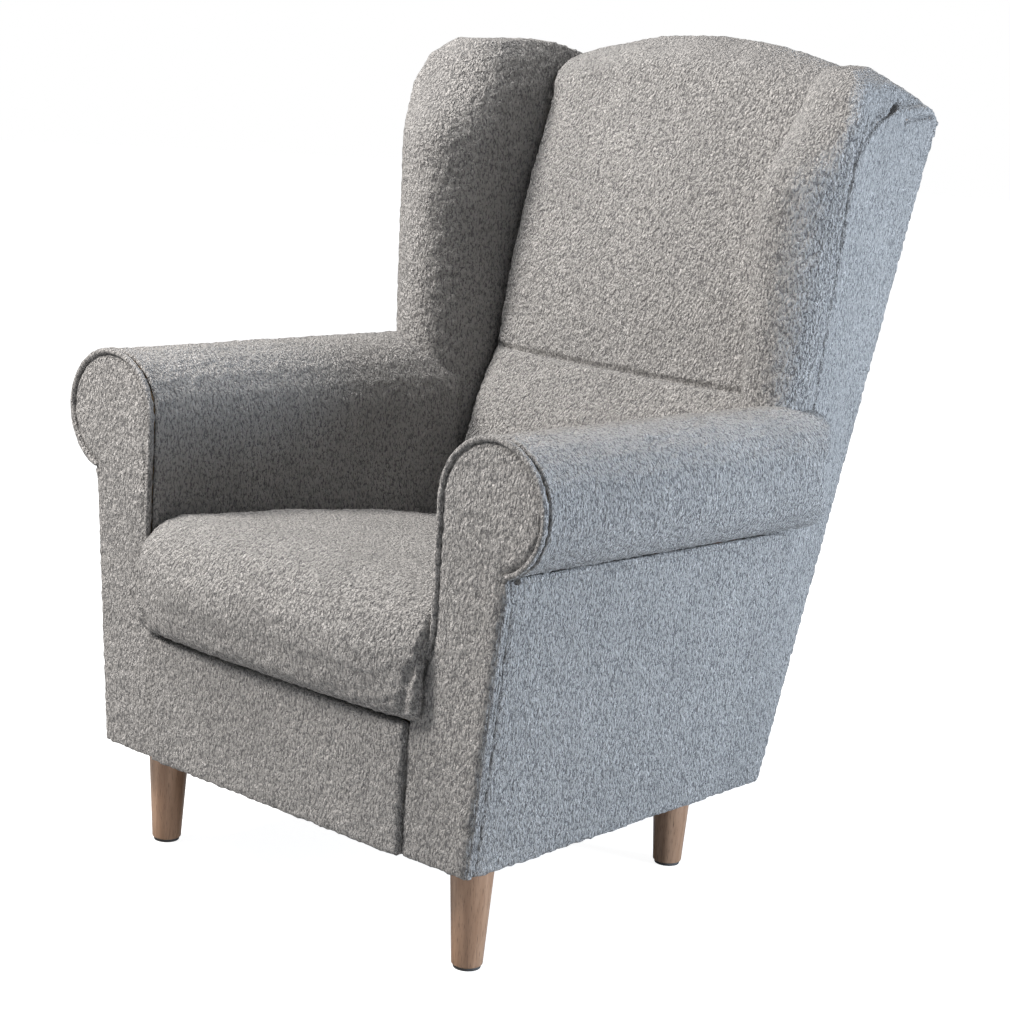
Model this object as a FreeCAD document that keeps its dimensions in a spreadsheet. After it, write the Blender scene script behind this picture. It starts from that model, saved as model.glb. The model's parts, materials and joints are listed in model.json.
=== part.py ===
import FreeCAD, Part
import math
import os
import Sketcher

# Wing-back armchair with scroll arms, a fixed sprung seat and four screw-in legs.
# Frame of the model: +Z up, the sitter faces -Y, +X is the sitter's left hand.
# The origin lies on the floor under the middle of the chair's outer box.

DRIVING_SIZES = [
    ("overall_height", 1070, "floor to the crest of the back"),
    ("overall_width", 818, "across the two arm rolls"),
    ("overall_depth", 893, "seat nose to the top edge of the outside back"),
    ("body_bottom", 136, "floor to the underside of the upholstered body"),
    ("roll_overhang", 86, "arm roll outside the body's lower front corner"),
    ("rear_overhang", 101, "arm roll outside the body's rear edges"),
    ("back_lean", 18, "lean of the outside back from the vertical, degrees"),
    ("inside_lean", 15, "lean of the inside back from the vertical, degrees"),
    ("back_panel_drop", 35, "outside back's top edge under the crest, at the middle"),
    ("back_arch", 62, "fall of the back's top from the middle to the rear corners"),
    ("back_top_thickness", 143, "front to back, level, at the outside back's top edge"),
    ("top_roll_rise", 58, "height of the round over the inside back's top"),
    ("crest_setback", 92, "crest of the back before the outside back's top edge"),
    ("back_crown", 15, "swell of the inside back's middle before its sides"),
    ("back_seam_height", 625, "height of the seam across the inside back"),
    ("back_bottom", 332, "lower end of the inside back, tucked behind the seat"),
    ("lumbar_start", 412, "height where the inside back leaves the seat's rear edge"),
    ("lumbar_swell", 15, "swell of the inside back below its seam"),
    ("shoulder_swell", 11, "swell of the inside back above its seam"),
    ("seam_depth", 8, "how far the seam across the inside back is drawn in"),
    ("seat_overhang", 35, "seat nose before the arm facings"),
    ("arm_breadth", 159, "arm roll, from its outermost line to the arm's inner face"),
    ("seat_height", 459, "floor to the seat's crown behind its nose"),
    ("seat_fall", 7, "fall of the seat towards the back, degrees"),
    ("seat_swell", 12, "swell of the seat's top between nose and back"),
    ("seat_nose_radius", 62, "round of the seat's upper front edge"),
    ("seat_lip_radius", 30, "round of the seat's lower front edge"),
    ("seat_side_drop", 16, "fall of the seat's top from the middle to its sides"),
    ("seat_side_draw", 14, "how far the nose is drawn in at its two ends"),
    ("seat_end_clearance", 0.9, "seat beside the welts of the arm facings"),
    ("seat_back_clearance", 1.5, "seat's rear end before the inside back"),
    ("arm_height", 645.5, "floor to the top of the arm roll at the front"),
    ("scroll_radius", 79.5, "radius of the arm roll"),
    ("neck_angle", 70, "how far the arm roll turns under its level line, degrees"),
    ("arm_drop", 10, "fall of the arm roll from the front to the wing"),
    ("roll_end_round", 62, "round of the arm roll's outer rear corner, seen from above"),
    ("roll_end_margin", 6, "that round's outline outside the roll's widest line"),
    ("apron_inset", 29, "apron's end inside the arm's inner face"),
    ("apron_proud", 8, "apron before the arm facings"),
    ("facing_step_low", 300, "height where the facing's inner edge leaves the apron"),
    ("facing_step_high", 430, "height where the facing's inner edge reaches the arm"),
    ("wing_setback", 545, "front of the wings behind the arm facings"),
    ("wing_flare", 15, "flare of the wings in plan, degrees"),
    ("wing_drop", 25, "top of the wings under the crest of the back"),
    ("wing_foot", 420, "lower end of the wings, hidden behind the arm rolls"),
    ("wing_inner_round", 60, "round of the wing's front edge towards the sitter"),
    ("wing_shoulder_round", 80, "the same round where the wing's top begins"),
    ("wing_lean_run", 100, "height over which that round grows, below the dome"),
    ("wing_outer_round", 18, "round of the wing's front edge towards its outer seam"),
    ("wing_dome_height", 125, "height over which the wing's top rounds off"),
    ("wing_dome_setback", 70, "how far the wing's front recedes at its top"),
    ("wing_dome_draw", 38, "how far the wing's sides draw in at its top"),
    ("shoulder_rise", 4, "wing cover over the outside back's arch, beside the back"),
    ("wing_crest_setback", 66, "crest of the wing behind its front"),
    ("wing_tuck", 20, "wing's inner cover tucked in beside the back"),
    ("wing_panel_corner", 70, "round of the outside panel's upper front corner"),
    ("wing_top_fall", 6, "fall of the wing's top towards the rear, degrees"),
    ("side_rise", 29, "side panel's reach above the arm's neck, trimmed by the roll"),
    ("side_break_setback", 60, "where the side's flare begins at the hem, before its rear edge"),
    ("side_panel_drop", 50, "outside panel's top edge under the outside back's"),
    ("cover_thickness", 4, "upholstery fabric with its pile"),
    ("liner_thickness", 3, "hardboard behind the outside panels"),
    ("soft_gap", 0.3, "clearance between soft pieces"),
    ("facing_padding", 6, "wadding under the arm facings"),
    ("welt_diameter", 9, "piping round the arm facings"),
    ("welt_inset", 2.5, "piping centre line inside the facing's outline"),
    ("board_inset", 10, "front board's edge inside the facing's outline"),
    ("board_thickness", 18, "plywood front boards of the arms"),
    ("wing_board_thickness", 15, "plywood boards inside the wings"),
    ("wing_board_drop", 60, "wing boards' top edge under the outside panel's"),
    ("wing_board_setback", 26, "wing board's front edge behind the wing's front"),
    ("rail_thickness", 25, "beech rails"),
    ("side_rail_thickness", 22, "beech side rails"),
    ("frame_lift", 4, "underside of the timber above the body's lower hem"),
    ("rail_height", 150, "height of the seat rails"),
    ("leg_rail_height", 30, "height of the blocks and the rail that hold the legs"),
    ("leg_rail_depth", 62, "front to back size of the rail that holds the rear legs"),
    ("block_depth", 90, "front to back size of the front leg blocks"),
    ("post_thickness", 26, "back posts, side to side"),
    ("post_depth", 45, "back posts, square to their length"),
    ("back_rail_height", 80, "height of the rails between the back posts"),
    ("rail_padding_gap", 3, "foam's notch over the arched rail, between its sections"),
    ("back_rail_low", 340, "underside of the middle back rail"),
    ("arm_rail_width", 64, "arm rail under the roll, side to side"),
    ("arm_rail_height", 22, "arm rail under the roll"),
    ("arm_rail_tail", 20, "width of the arm rail's rear end beside the back post"),
    ("arm_panel_setback", 24, "inner arm panel behind the arm's inner face"),
    ("arm_panel_thickness", 4, "hardboard inside the arm"),
    ("arm_panel_foot", 296, "lower edge of the inner arm panel and its foam"),
    ("arm_rail_lift", 10, "arm rail above the arm's neck"),
    ("spring_wire", 3.6, "zigzag spring wire"),
    ("spring_count", 5, "zigzag springs side by side"),
    ("spring_pitch", 88, "spacing of the springs"),
    ("spring_waves", 6, "full waves of each spring from rail to rail"),
    ("spring_width", 50, "width of a spring across its waves"),
    ("clip_width", 20, "spring clip, side to side"),
    ("clip_length", 22, "spring clip, front to back"),
    ("clip_metal", 1.5, "spring clip sheet"),
    ("block_clearance", 0.5, "leg block beside the side rail"),
    ("webbing_width", 50, "elastic webbing strap"),
    ("webbing_thickness", 1.5, "elastic webbing strap"),
    ("webbing_count", 6, "webbing straps up the back"),
    ("webbing_pitch", 86, "spacing of the webbing straps"),
    ("webbing_start", 345, "height of the lowest webbing strap"),
    ("webbing_lap", 20, "webbing strap's end on the post"),
    ("dust_cover_thickness", 1.5, "woven cloth under the body"),
    ("leg_top_diameter", 54, "leg where it meets the body"),
    ("leg_foot_diameter", 37, "leg at its foot"),
    ("front_leg_half_track", 273, "front legs from the middle plane"),
    ("front_leg_setback", 68, "front legs behind the arm facings"),
    ("rear_leg_half_track", 199, "rear legs from the middle plane"),
    ("rear_leg_inset", 37, "rear legs before the lower rear edge"),
    ("glide_thickness", 4, "glide under each leg"),
    ("glide_diameter", 33, "glide under each leg"),
    ("bolt_diameter", 8, "hanger bolt in each leg"),
    ("bolt_depth", 40, "hanger bolt's screw end inside the leg"),
    ("bolt_clearance", 0.5, "hole round an insert or a leg, over its radius"),
    ("thread_clearance", 0.1, "hole round a screwed bolt, over its radius"),
    ("nut_flange_diameter", 22, "flange of the threaded insert"),
    ("nut_flange_thickness", 1.6, "flange of the threaded insert"),
    ("nut_barrel_diameter", 11, "barrel of the threaded insert"),
    ("nut_barrel_length", 14, "barrel of the threaded insert"),
]

doc = FreeCAD.newDocument("armchair")
sheet = doc.addObject("Spreadsheet::Sheet", "Sizes")
row_count = 0
nodes = []
BACKWARD_TILT = FreeCAD.Vector(-1, 0, 0)
BEYOND = 40


class Measure:
    """A size that carries its number and the sheet formula that gives it."""

    def __init__(self, value, formula):
        self.value = float(value)
        self.formula = formula

    def __add__(self, other):
        return joined(self, "+", other)

    def __radd__(self, other):
        return joined(other, "+", self)

    def __sub__(self, other):
        return joined(self, "-", other)

    def __rsub__(self, other):
        return joined(other, "-", self)

    def __mul__(self, other):
        return joined(self, "*", other)

    def __rmul__(self, other):
        return joined(other, "*", self)

    def __truediv__(self, other):
        return joined(self, "/", other)

    def __rtruediv__(self, other):
        return joined(other, "/", self)

    def __neg__(self):
        return joined(-1, "*", self)


def measure(thing):
    """Give a plain number the same form as a sheet size."""
    if isinstance(thing, Measure):
        return thing
    return Measure(thing, repr(float(thing)))


def joined(left, sign, right):
    """Join two sizes with an arithmetic sign, in number and in formula."""
    first = measure(left)
    second = measure(right)
    results = {
        "+": lambda: first.value + second.value,
        "-": lambda: first.value - second.value,
        "*": lambda: first.value * second.value,
        "/": lambda: first.value / second.value,
    }
    return Measure(results[sign](), f"({first.formula} {sign} {second.formula})")


def sine(angle):
    """Sine of an angle in degrees."""
    turn = measure(angle)
    return Measure(math.sin(math.radians(turn.value)), f"sin({turn.formula})")


def cosine(angle):
    """Cosine of an angle in degrees."""
    turn = measure(angle)
    return Measure(math.cos(math.radians(turn.value)), f"cos({turn.formula})")


def root(size):
    """Square root of a size."""
    return Measure(math.sqrt(size.value), f"sqrt({size.formula})")


def tangent(angle):
    """Tangent of an angle in degrees."""
    turn = measure(angle)
    return Measure(math.tan(math.radians(turn.value)), f"tan({turn.formula})")


def arctangent(size):
    """Angle in degrees whose tangent is a size."""
    return Measure(math.degrees(math.atan(size.value)), f"atan({size.formula})")


def store(alias, content, note):
    """Write one cell of the sheet under its alias."""
    global row_count
    row_count += 1
    sheet.set(f"A{row_count}", note)
    sheet.set(f"B{row_count}", content)
    sheet.setAlias(f"B{row_count}", alias)


def derived(alias, size, note):
    """Keep a worked-out size in the sheet, so that later formulas stay short."""
    store(alias, "=" + size.formula.replace("@", ""), note)
    return Measure(size.value, "@" + alias)


def bind(item, path, size):
    """Tie one property of an object to a sheet formula."""
    item.setExpression(path, measure(size).formula.replace("@", "Sizes."))


for alias, value, note in DRIVING_SIZES:
    store(alias, str(value), note)
S = {alias: Measure(value, "@" + alias) for alias, value, note in DRIVING_SIZES}


# Outlines: a start corner and steps, each a straight line or an arc to the next corner.

class Step:
    """One side of an outline: a line, or an arc that bulges left or right of its way."""

    def __init__(self, x, y, radius=None, bulge=0):
        self.x = measure(x)
        self.y = measure(y)
        self.radius = None if radius is None else measure(radius)
        self.bulge = bulge


def line(x, y):
    """Straight side to a corner."""
    return Step(x, y)


def left_arc(x, y, radius):
    """Arc to a corner that bulges to the left of the way."""
    return Step(x, y, radius, 1)


def right_arc(x, y, radius):
    """Arc to a corner that bulges to the right of the way."""
    return Step(x, y, radius, -1)


def quarter_radius(across, along):
    """Radius of the arc that starts square to one of two offsets and ends at both."""
    return (across * across + along * along) / (2 * along)


def fan(centre_x, centre_y, radius, start, end, chords):
    """Points of equal chords round a centre, from one angle to another in degrees."""
    turn = (end - start) / chords
    return [(centre_x + radius * cosine(start + turn * number),
             centre_y + radius * sine(start + turn * number))
            for number in range(chords + 1)]


def swell(begin, end, rise_x, rise_y, chords):
    """Points from a place to another on a line that swells by a rise in its middle."""
    points = []
    for number in range(1, chords + 1):
        share = number / chords
        bow = 4 * share * (1 - share)
        points.append((begin[0] + (end[0] - begin[0]) * share + rise_x * bow,
                       begin[1] + (end[1] - begin[1]) * share + rise_y * bow))
    return points


def straight(points):
    """Straight sides through a row of points."""
    return [line(x, y) for x, y in points]


def origin_item(body, role):
    """Find one of a body's own origin planes or axes by its role."""
    return next(item for item in body.Origin.OriginFeatures if item.Role == role)


def arc_geometry(begin, end, radius, bulge):
    """Counter-clockwise arc between two points, and whether it runs against the way."""
    middle = (begin + end) / 2
    way = end - begin
    side = FreeCAD.Vector(-way.y, way.x, 0).normalize()
    reach = math.sqrt(max(radius * radius - (way.Length / 2) ** 2, 0))
    centre = middle - side * reach * bulge
    first = math.atan2(begin.y - centre.y, begin.x - centre.x)
    last = math.atan2(end.y - centre.y, end.x - centre.x)
    circle = Part.Circle(centre, FreeCAD.Vector(0, 0, 1), radius)
    if bulge > 0:
        return Part.ArcOfCircle(circle, last, first), True
    return Part.ArcOfCircle(circle, first, last), False


def sketch(body, name, plane, corners, closed=True, offset=None, tilt=None):
    """Draw an outline on one of the body's origin planes, every corner tied to the sheet."""
    item = body.newObject("Sketcher::SketchObject", name)
    item.AttachmentSupport = [(origin_item(body, plane), "")]
    item.MapMode = "FlatFace"
    if offset is not None:
        bind(item, "AttachmentOffset.Base.z", offset)
    if tilt is not None:
        item.AttachmentOffset = FreeCAD.Placement(
            FreeCAD.Vector(0, 0, measure(offset).value),
            FreeCAD.Rotation(BACKWARD_TILT, measure(tilt).value))
        bind(item, "AttachmentOffset.Rotation.Angle", tilt)
    points = [FreeCAD.Vector(step.x.value, step.y.value, 0) for step in corners]
    side_count = len(corners) if closed else len(corners) - 1
    ends = []
    for index in range(side_count):
        step = corners[(index + 1) % len(corners)]
        begin = points[index]
        end = points[(index + 1) % len(corners)]
        if step.radius is None:
            item.addGeometry(Part.LineSegment(begin, end), False)
            ends.append((1, 2))
            continue
        geometry, against = arc_geometry(begin, end, step.radius.value, step.bulge)
        item.addGeometry(geometry, False)
        ends.append((2, 1) if against else (1, 2))
    for index in range(side_count - (0 if closed else 1)):
        after = (index + 1) % side_count
        item.addConstraint(Sketcher.Constraint(
            "Coincident", index, ends[index][1], after, ends[after][0]))
    for index, step in enumerate(corners):
        side = min(index, side_count - 1)
        spot = ends[side][0] if index == side else ends[side][1]
        for kind, size in (("DistanceX", step.x), ("DistanceY", step.y)):
            number = item.addConstraint(Sketcher.Constraint(
                kind, -1, 1, side, spot, size.value))
            bind(item, f"Constraints[{number}]", size)
        if step.radius is not None:
            number = item.addConstraint(Sketcher.Constraint(
                "Radius", (index - 1) % len(corners), step.radius.value))
            bind(item, f"Constraints[{number}]", step.radius)
    return item


def circle_sketch(body, name, plane, spots, radius, offset=None):
    """Draw equal circles on one of the body's origin planes."""
    item = body.newObject("Sketcher::SketchObject", name)
    item.AttachmentSupport = [(origin_item(body, plane), "")]
    item.MapMode = "FlatFace"
    if offset is not None:
        bind(item, "AttachmentOffset.Base.z", offset)
    for index, (x, y) in enumerate(spots):
        centre = FreeCAD.Vector(measure(x).value, measure(y).value, 0)
        circle = Part.Circle(centre, FreeCAD.Vector(0, 0, 1), measure(radius).value)
        item.addGeometry(circle, False)
        for kind, size in (("DistanceX", x), ("DistanceY", y)):
            number = item.addConstraint(Sketcher.Constraint(
                kind, -1, 1, index, 3, measure(size).value))
            bind(item, f"Constraints[{number}]", size)
        number = item.addConstraint(Sketcher.Constraint("Radius", index, measure(radius).value))
        bind(item, f"Constraints[{number}]", radius)
    return item


def new_body(name):
    """Start a body; its label is the node's name."""
    item = doc.addObject("PartDesign::Body", name)
    item.Label = name
    return item


def pad(body, name, plane, corners, start, length):
    """Raise an outline along its plane's axis, from start by length."""
    against = plane == "XZ_Plane"
    offset = -measure(start) if against else start
    profile = sketch(body, name + "_outline", plane, corners, offset=offset)
    item = body.newObject("PartDesign::Pad", name)
    item.Profile = profile
    item.Reversed = against
    bind(item, "Length", length)
    return item


def holes(body, name, spots, radius, top, depth):
    """Drill round holes down from a height."""
    item = body.newObject("PartDesign::Pocket", name)
    item.Profile = circle_sketch(body, name + "_circles", "XY_Plane", spots, radius, offset=top)
    bind(item, "Length", depth)
    return item


def loft(body, name, profiles):
    """Skin a row of sketches with straight rules from each to the next."""
    item = body.newObject("PartDesign::AdditiveLoft", name)
    item.Profile = profiles[0]
    item.Sections = profiles[1:]
    item.Ruled = True
    return item


def keep(item, label):
    """Name a finished piece and put it on the list of nodes."""
    item.Label = label
    nodes.append(item)
    return item


def cut(name, base, tool):
    """Take one shape out of another."""
    item = doc.addObject("Part::Cut", name)
    item.Base = base
    item.Tool = tool
    return item


def cut_all(name, base, tools):
    """Take several shapes out of another, one after the other."""
    for number, tool in enumerate(tools):
        base = cut(f"{name}_cut_{number}", base, tool)
    return base


def common(name, base, tool):
    """Keep what two shapes share."""
    item = doc.addObject("Part::Common", name)
    item.Base = base
    item.Tool = tool
    return item


def compound(name, items):
    """Group separate solids in one node."""
    item = doc.addObject("Part::Compound", name)
    item.Links = items
    return item


def mirror_image(source, name):
    """Mirror image of a piece about the middle plane."""
    twin = doc.addObject("Part::Mirroring", name)
    twin.Source = source
    twin.Normal = FreeCAD.Vector(1, 0, 0)
    return twin


def keep_pair(item, name):
    """Keep a piece of the sitter's left side and its mirror image on the right."""
    keep(item, name + "_left")
    keep(mirror_image(item, name + "_right"), name + "_right")
    return item


# Lines and planes that many pieces share.

cover = S["cover_thickness"]
gap = S["soft_gap"]
skin = derived("skin_depth", cover + S["liner_thickness"] + gap, "outside cover, liner and gap")
lean_rise = derived("lean_rise", tangent(S["back_lean"]), "back's outside run per rise")
inside_rise = derived("inside_rise", tangent(S["inside_lean"]), "back's inside run per rise")
flare_rise = derived("flare_rise", tangent(S["wing_flare"]), "wing's outward run per depth")
fall_rise = derived("fall_rise", tangent(S["wing_top_fall"]), "fall of the wing's top per depth")
rear_top = derived("rear_top", S["overall_depth"] / 2, "outside back at its top edge")
arm_front = derived("arm_front", S["seat_overhang"] - S["overall_depth"] / 2, "arm facing plane")
frame_bottom = derived("frame_bottom", S["body_bottom"] + S["frame_lift"], "timber underside")
rail_top = derived("rail_top", frame_bottom + S["rail_height"], "top of the seat rails")
half_width = derived("half_width", S["overall_width"] / 2, "half the width over the rolls")
half_front = derived("half_front", half_width - S["roll_overhang"], "half the front width")
half_rear = derived("half_rear", half_width - S["rear_overhang"], "half the rear width")
half_seat = derived("half_seat", half_width - S["arm_breadth"], "half the seat width")
half_apron = derived("half_apron", half_seat - S["apron_inset"], "half the apron width")
back_panel_top = derived("back_panel_top", S["overall_height"] - S["back_panel_drop"],
                         "outside back's top edge at the middle")
side_panel_top = derived("side_panel_top", back_panel_top - S["side_panel_drop"],
                         "outside panel's top edge")
wing_board_top = derived("wing_board_top", side_panel_top - S["wing_board_drop"],
                         "wing boards' top edge")
wing_dome_foot = derived("wing_dome_foot",
                         S["overall_height"] - S["wing_drop"] - S["wing_dome_height"],
                         "height where the wing's dome begins")
level_skin = derived("level_skin", skin / cosine(S["back_lean"]), "skin, measured level")


def rear_plane(z):
    """Outside back's depth at a height."""
    return rear_top - lean_rise * (back_panel_top - z)


def inside_plane(z):
    """Inside back's depth at a height, along its sides."""
    return rear_top - S["back_top_thickness"] - inside_rise * (back_panel_top - z)


def level(size):
    """A thickness square to the back, measured level."""
    return size / cosine(S["back_lean"])


post_rear = level_skin
post_front = derived("post_front", level_skin + level(S["post_depth"]), "post's front face")
wing_front = derived("wing_front", arm_front + S["wing_setback"], "front of the wings")
wing_seam = derived("wing_seam", wing_front + S["wing_outer_round"], "outer seam of the wings")
scroll_x = derived("scroll_x", half_width - S["scroll_radius"], "roll's axis")
scroll_z = derived("scroll_z", S["arm_height"] - S["scroll_radius"], "roll's axis height")
neck_x = derived("neck_x", scroll_x + S["scroll_radius"] * cosine(S["neck_angle"]), "neck")
neck_z = derived("neck_z", scroll_z - S["scroll_radius"] * sine(S["neck_angle"]), "neck height")
board_front = derived("board_front", arm_front + cover + S["facing_padding"], "front board face")
board_rear = derived("board_rear", board_front + S["board_thickness"], "front board back")
arm_start = derived("arm_start", board_front + S["welt_diameter"] + gap, "arm cover's front")
arm_rear = derived("arm_rear", wing_front - gap, "arm's rear end at the wing")
wing_side_z = derived("wing_side_z", neck_z + S["side_rise"], "upper end of the ruled side")
side_slant = derived("side_slant", (neck_x - half_front) / (neck_z - S["body_bottom"]),
                     "arm's outer face, outward run per rise")
side_skin = derived("side_skin", skin / cosine(S["wing_flare"]), "skin across the flared side")


def wing_side(y, z):
    """Outside face of the flared side above the arm, on the sitter's left."""
    return half_rear + flare_rise * (rear_plane(z) - y)


side_break_x = derived("side_break_x", wing_side(wing_seam, wing_side_z), "side at the wing seam")


# Frame: beech rails, posts and plywood boards.

def leaning_outline(front, rear, low, high):
    """Side outline of a board that leans with the outside back, with level ends."""
    return [
        line(rear_plane(low) - front, low),
        line(rear_plane(low) - rear, low),
        line(rear_plane(high) - rear, high),
        line(rear_plane(high) - front, high),
    ]


def make_front_rail():
    """Rail under the seat's front edge, between the front boards of the arms."""
    body = new_body("front_rail")
    half = half_apron + S["board_inset"]
    outline = [
        line(-half, board_front),
        line(half, board_front),
        line(half, board_front + S["rail_thickness"]),
        line(-half, board_front + S["rail_thickness"]),
    ]
    pad(body, "front_rail_pad", "XY_Plane", outline, frame_bottom, S["rail_height"])
    keep(body, "front_rail")


def side_rail_corners(z, inner_step):
    """Plan of the side rail at a height, its rear end flush with the leaning post."""
    rear_y = rear_plane(z) - post_front
    return [
        line(half_front - side_skin - inner_step, board_rear),
        line(half_front - side_skin, board_rear),
        line(half_rear - skin, rear_y),
        line(half_rear - skin - inner_step, rear_y),
    ]


def make_side_rails():
    """Rails along both sides, from the front boards to the back posts."""
    body = new_body("side_rail")
    profiles = []
    for number, z in enumerate((frame_bottom, rail_top)):
        corners = side_rail_corners(z, S["side_rail_thickness"])
        profiles.append(sketch(body, f"side_rail_plan_{number}", "XY_Plane", corners, offset=z))
    loft(body, "side_rail_loft", profiles)
    keep_pair(body, "side_rail")


leg_seat = derived("leg_seat", frame_bottom + S["leg_rail_height"], "inserts' seat")
bolt_radius = S["bolt_diameter"] / 2
insert_hole = S["nut_barrel_diameter"] / 2 + S["bolt_clearance"]
front_leg = (S["front_leg_half_track"], arm_front + S["front_leg_setback"])
rear_leg = (S["rear_leg_half_track"], rear_plane(S["body_bottom"]) - S["rear_leg_inset"])


def both_sides(place):
    """A place on the sitter's left and its mirror image."""
    return [place, (-place[0], place[1])]


LEG_PLACES = both_sides(front_leg) + both_sides(rear_leg)
LEG_NAMES = ("leg_front_left", "leg_front_right", "leg_rear_left", "leg_rear_right")


def make_leg_blocks():
    """Blocks in the front corners that take the front legs' bolts."""
    body = new_body("leg_block")
    front = board_front + S["rail_thickness"]
    rear = front + S["block_depth"]
    slant = ((half_front - side_skin - half_rear + skin)
             / (rear_plane(frame_bottom) - post_front - board_rear))
    rail_inner = half_front - side_skin - S["side_rail_thickness"] - S["block_clearance"]
    corners = [
        line(half_apron + S["board_inset"], front),
        line(rail_inner - slant * (front - board_rear), front),
        line(rail_inner - slant * (rear - board_rear), rear),
        line(half_apron + S["board_inset"], rear),
    ]
    pad(body, "leg_block_pad", "XY_Plane", corners, frame_bottom, S["leg_rail_height"])
    doc.recompute()
    holes(body, "leg_block_hole", [front_leg], insert_hole, leg_seat, S["leg_rail_height"])
    keep_pair(body, "leg_block")


def make_rear_leg_rail():
    """Wide rail across the lower back that takes the rear legs' bolts."""
    body = new_body("rear_leg_rail")
    low = frame_bottom
    half = half_rear - skin - S["post_thickness"]
    outline = [
        line(rear_plane(low) - post_rear - S["leg_rail_depth"], low),
        line(rear_plane(low) - post_rear, low),
        line(rear_plane(leg_seat) - post_rear, leg_seat),
        line(rear_plane(low) - post_rear - S["leg_rail_depth"], leg_seat),
    ]
    pad(body, "rear_leg_rail_pad", "YZ_Plane", outline, -half, half * 2)
    doc.recompute()
    holes(body, "rear_leg_rail_holes", both_sides(rear_leg), insert_hole, leg_seat,
          S["leg_rail_height"])
    keep(body, "rear_leg_rail")


def cross_board(name, low, high, thickness):
    """Leaning board between the back posts, flush with their rear faces."""
    body = new_body(name)
    half = half_rear - skin - S["post_thickness"]
    outline = leaning_outline(post_rear + level(thickness), post_rear, low, high)
    pad(body, name + "_pad", "YZ_Plane", outline, -half, half * 2)
    return body


def make_back_posts():
    """Posts that run from the underside to the shoulders of the back."""
    body = new_body("back_post")
    post_top = side_panel_top - S["post_thickness"]
    outline = leaning_outline(post_front, post_rear, frame_bottom, post_top)
    start = half_rear - skin - S["post_thickness"]
    pad(body, "back_post_pad", "YZ_Plane", outline, start, S["post_thickness"])
    keep_pair(body, "back_post")


def back_placement(body):
    """Lay a body's own XZ plane on the outside back, its origin on the lower rear edge."""
    body.Placement = FreeCAD.Placement(
        FreeCAD.Vector(0, rear_plane(S["body_bottom"]).value, S["body_bottom"].value),
        FreeCAD.Rotation(BACKWARD_TILT, S["back_lean"].value))
    bind(body, "Placement.Base.y", rear_plane(S["body_bottom"]))
    bind(body, "Placement.Base.z", S["body_bottom"])
    bind(body, "Placement.Rotation.Angle", S["back_lean"])


def slope(z):
    """Way up the leaning back from its lower edge to a height."""
    return (z - S["body_bottom"]) / cosine(S["back_lean"])


def arch_radius():
    """Radius of the back's arched top, seen square to the back."""
    return quarter_radius(half_rear, S["back_arch"] / cosine(S["back_lean"]))


def arched_outline(half, low, arch_inset):
    """Outline on the back's plane with the back's arched top, lowered by an inset."""
    radius = arch_radius() - arch_inset
    centre = slope(back_panel_top) - arch_radius()
    side_top = centre + root(radius * radius - half * half)
    return [
        line(-half, low),
        line(half, low),
        line(half, side_top),
        right_arc(-half, side_top, radius),
    ]


def make_back_top_rail():
    """Arched rail that carries the top roll between the posts."""
    body = new_body("back_top_rail")
    half = half_rear - skin - S["post_thickness"]
    low = slope(side_panel_top - S["post_thickness"]) - S["back_rail_height"]
    corners = arched_outline(half, low, S["post_thickness"])
    front = -(skin + S["post_depth"])
    pad(body, "back_top_rail_pad", "XZ_Plane", corners, front, S["post_depth"])
    back_placement(body)
    keep(body, "back_top_rail")


def scroll_outline(inset):
    """Front outline of an arm, set in by an inset: foot, outer edge, scroll, inner edge."""
    radius = S["scroll_radius"] - inset
    neck_reach = neck_x - inset - scroll_x
    step = (half_seat - half_apron) / 2
    step_rise = (S["facing_step_high"] - S["facing_step_low"]) / 2
    step_middle = S["facing_step_low"] + step_rise
    turn = quarter_radius(step_rise, step)
    return [
        line(half_apron + inset, S["body_bottom"]),
        line(half_front - inset, S["body_bottom"]),
        line(neck_x - inset, scroll_z - root(radius * radius - neck_reach * neck_reach)),
        right_arc(scroll_x, scroll_z + radius, radius),
        right_arc(scroll_x - radius, scroll_z, radius),
        line(half_seat + inset, S["facing_step_high"]),
        left_arc(half_apron + step + inset, step_middle, turn),
        right_arc(half_apron + inset, S["facing_step_low"], turn),
    ]


def make_arm_boards():
    """Plywood front boards of the arms, with the scroll's outline."""
    body = new_body("arm_front_board")
    corners = scroll_outline(S["board_inset"])
    corners[0] = line(half_apron + S["board_inset"], frame_bottom)
    corners[1] = line(half_front - S["board_inset"], frame_bottom)
    pad(body, "arm_front_board_pad", "XZ_Plane", corners, board_front, S["board_thickness"])
    return keep_pair(body, "arm_front_board")


arm_rail_top = derived("arm_rail_top", neck_z + S["arm_rail_height"] + S["arm_rail_lift"],
                       "top of the arm rail")
arm_rail_low = derived("arm_rail_low", arm_rail_top - S["arm_rail_height"], "arm rail underside")
panel_inner = derived("panel_inner", half_seat + S["arm_panel_setback"], "inner arm panel face")


def make_arm_rails():
    """Rails under the arm rolls, from the front boards to the back posts."""
    body = new_body("arm_rail")
    start = panel_inner + S["arm_panel_thickness"]
    tail = start + S["arm_rail_tail"]
    corners = [
        line(start, board_rear),
        line(start + S["arm_rail_width"], board_rear),
        line(start + S["arm_rail_width"], arm_rear - S["roll_end_round"]),
        line(tail, arm_rear),
        line(tail, rear_plane(arm_rail_low) - post_front),
        line(start, rear_plane(arm_rail_low) - post_front),
    ]
    pad(body, "arm_rail_pad", "XY_Plane", corners, arm_rail_low, S["arm_rail_height"])
    return keep_pair(body, "arm_rail")


def arm_inside_outline(low, high):
    """Side outline of the board and the foam inside an arm."""
    return [
        line(board_rear, low),
        line(arm_rear - gap, low),
        line(arm_rear - gap, high),
        line(board_rear, high),
    ]


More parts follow.
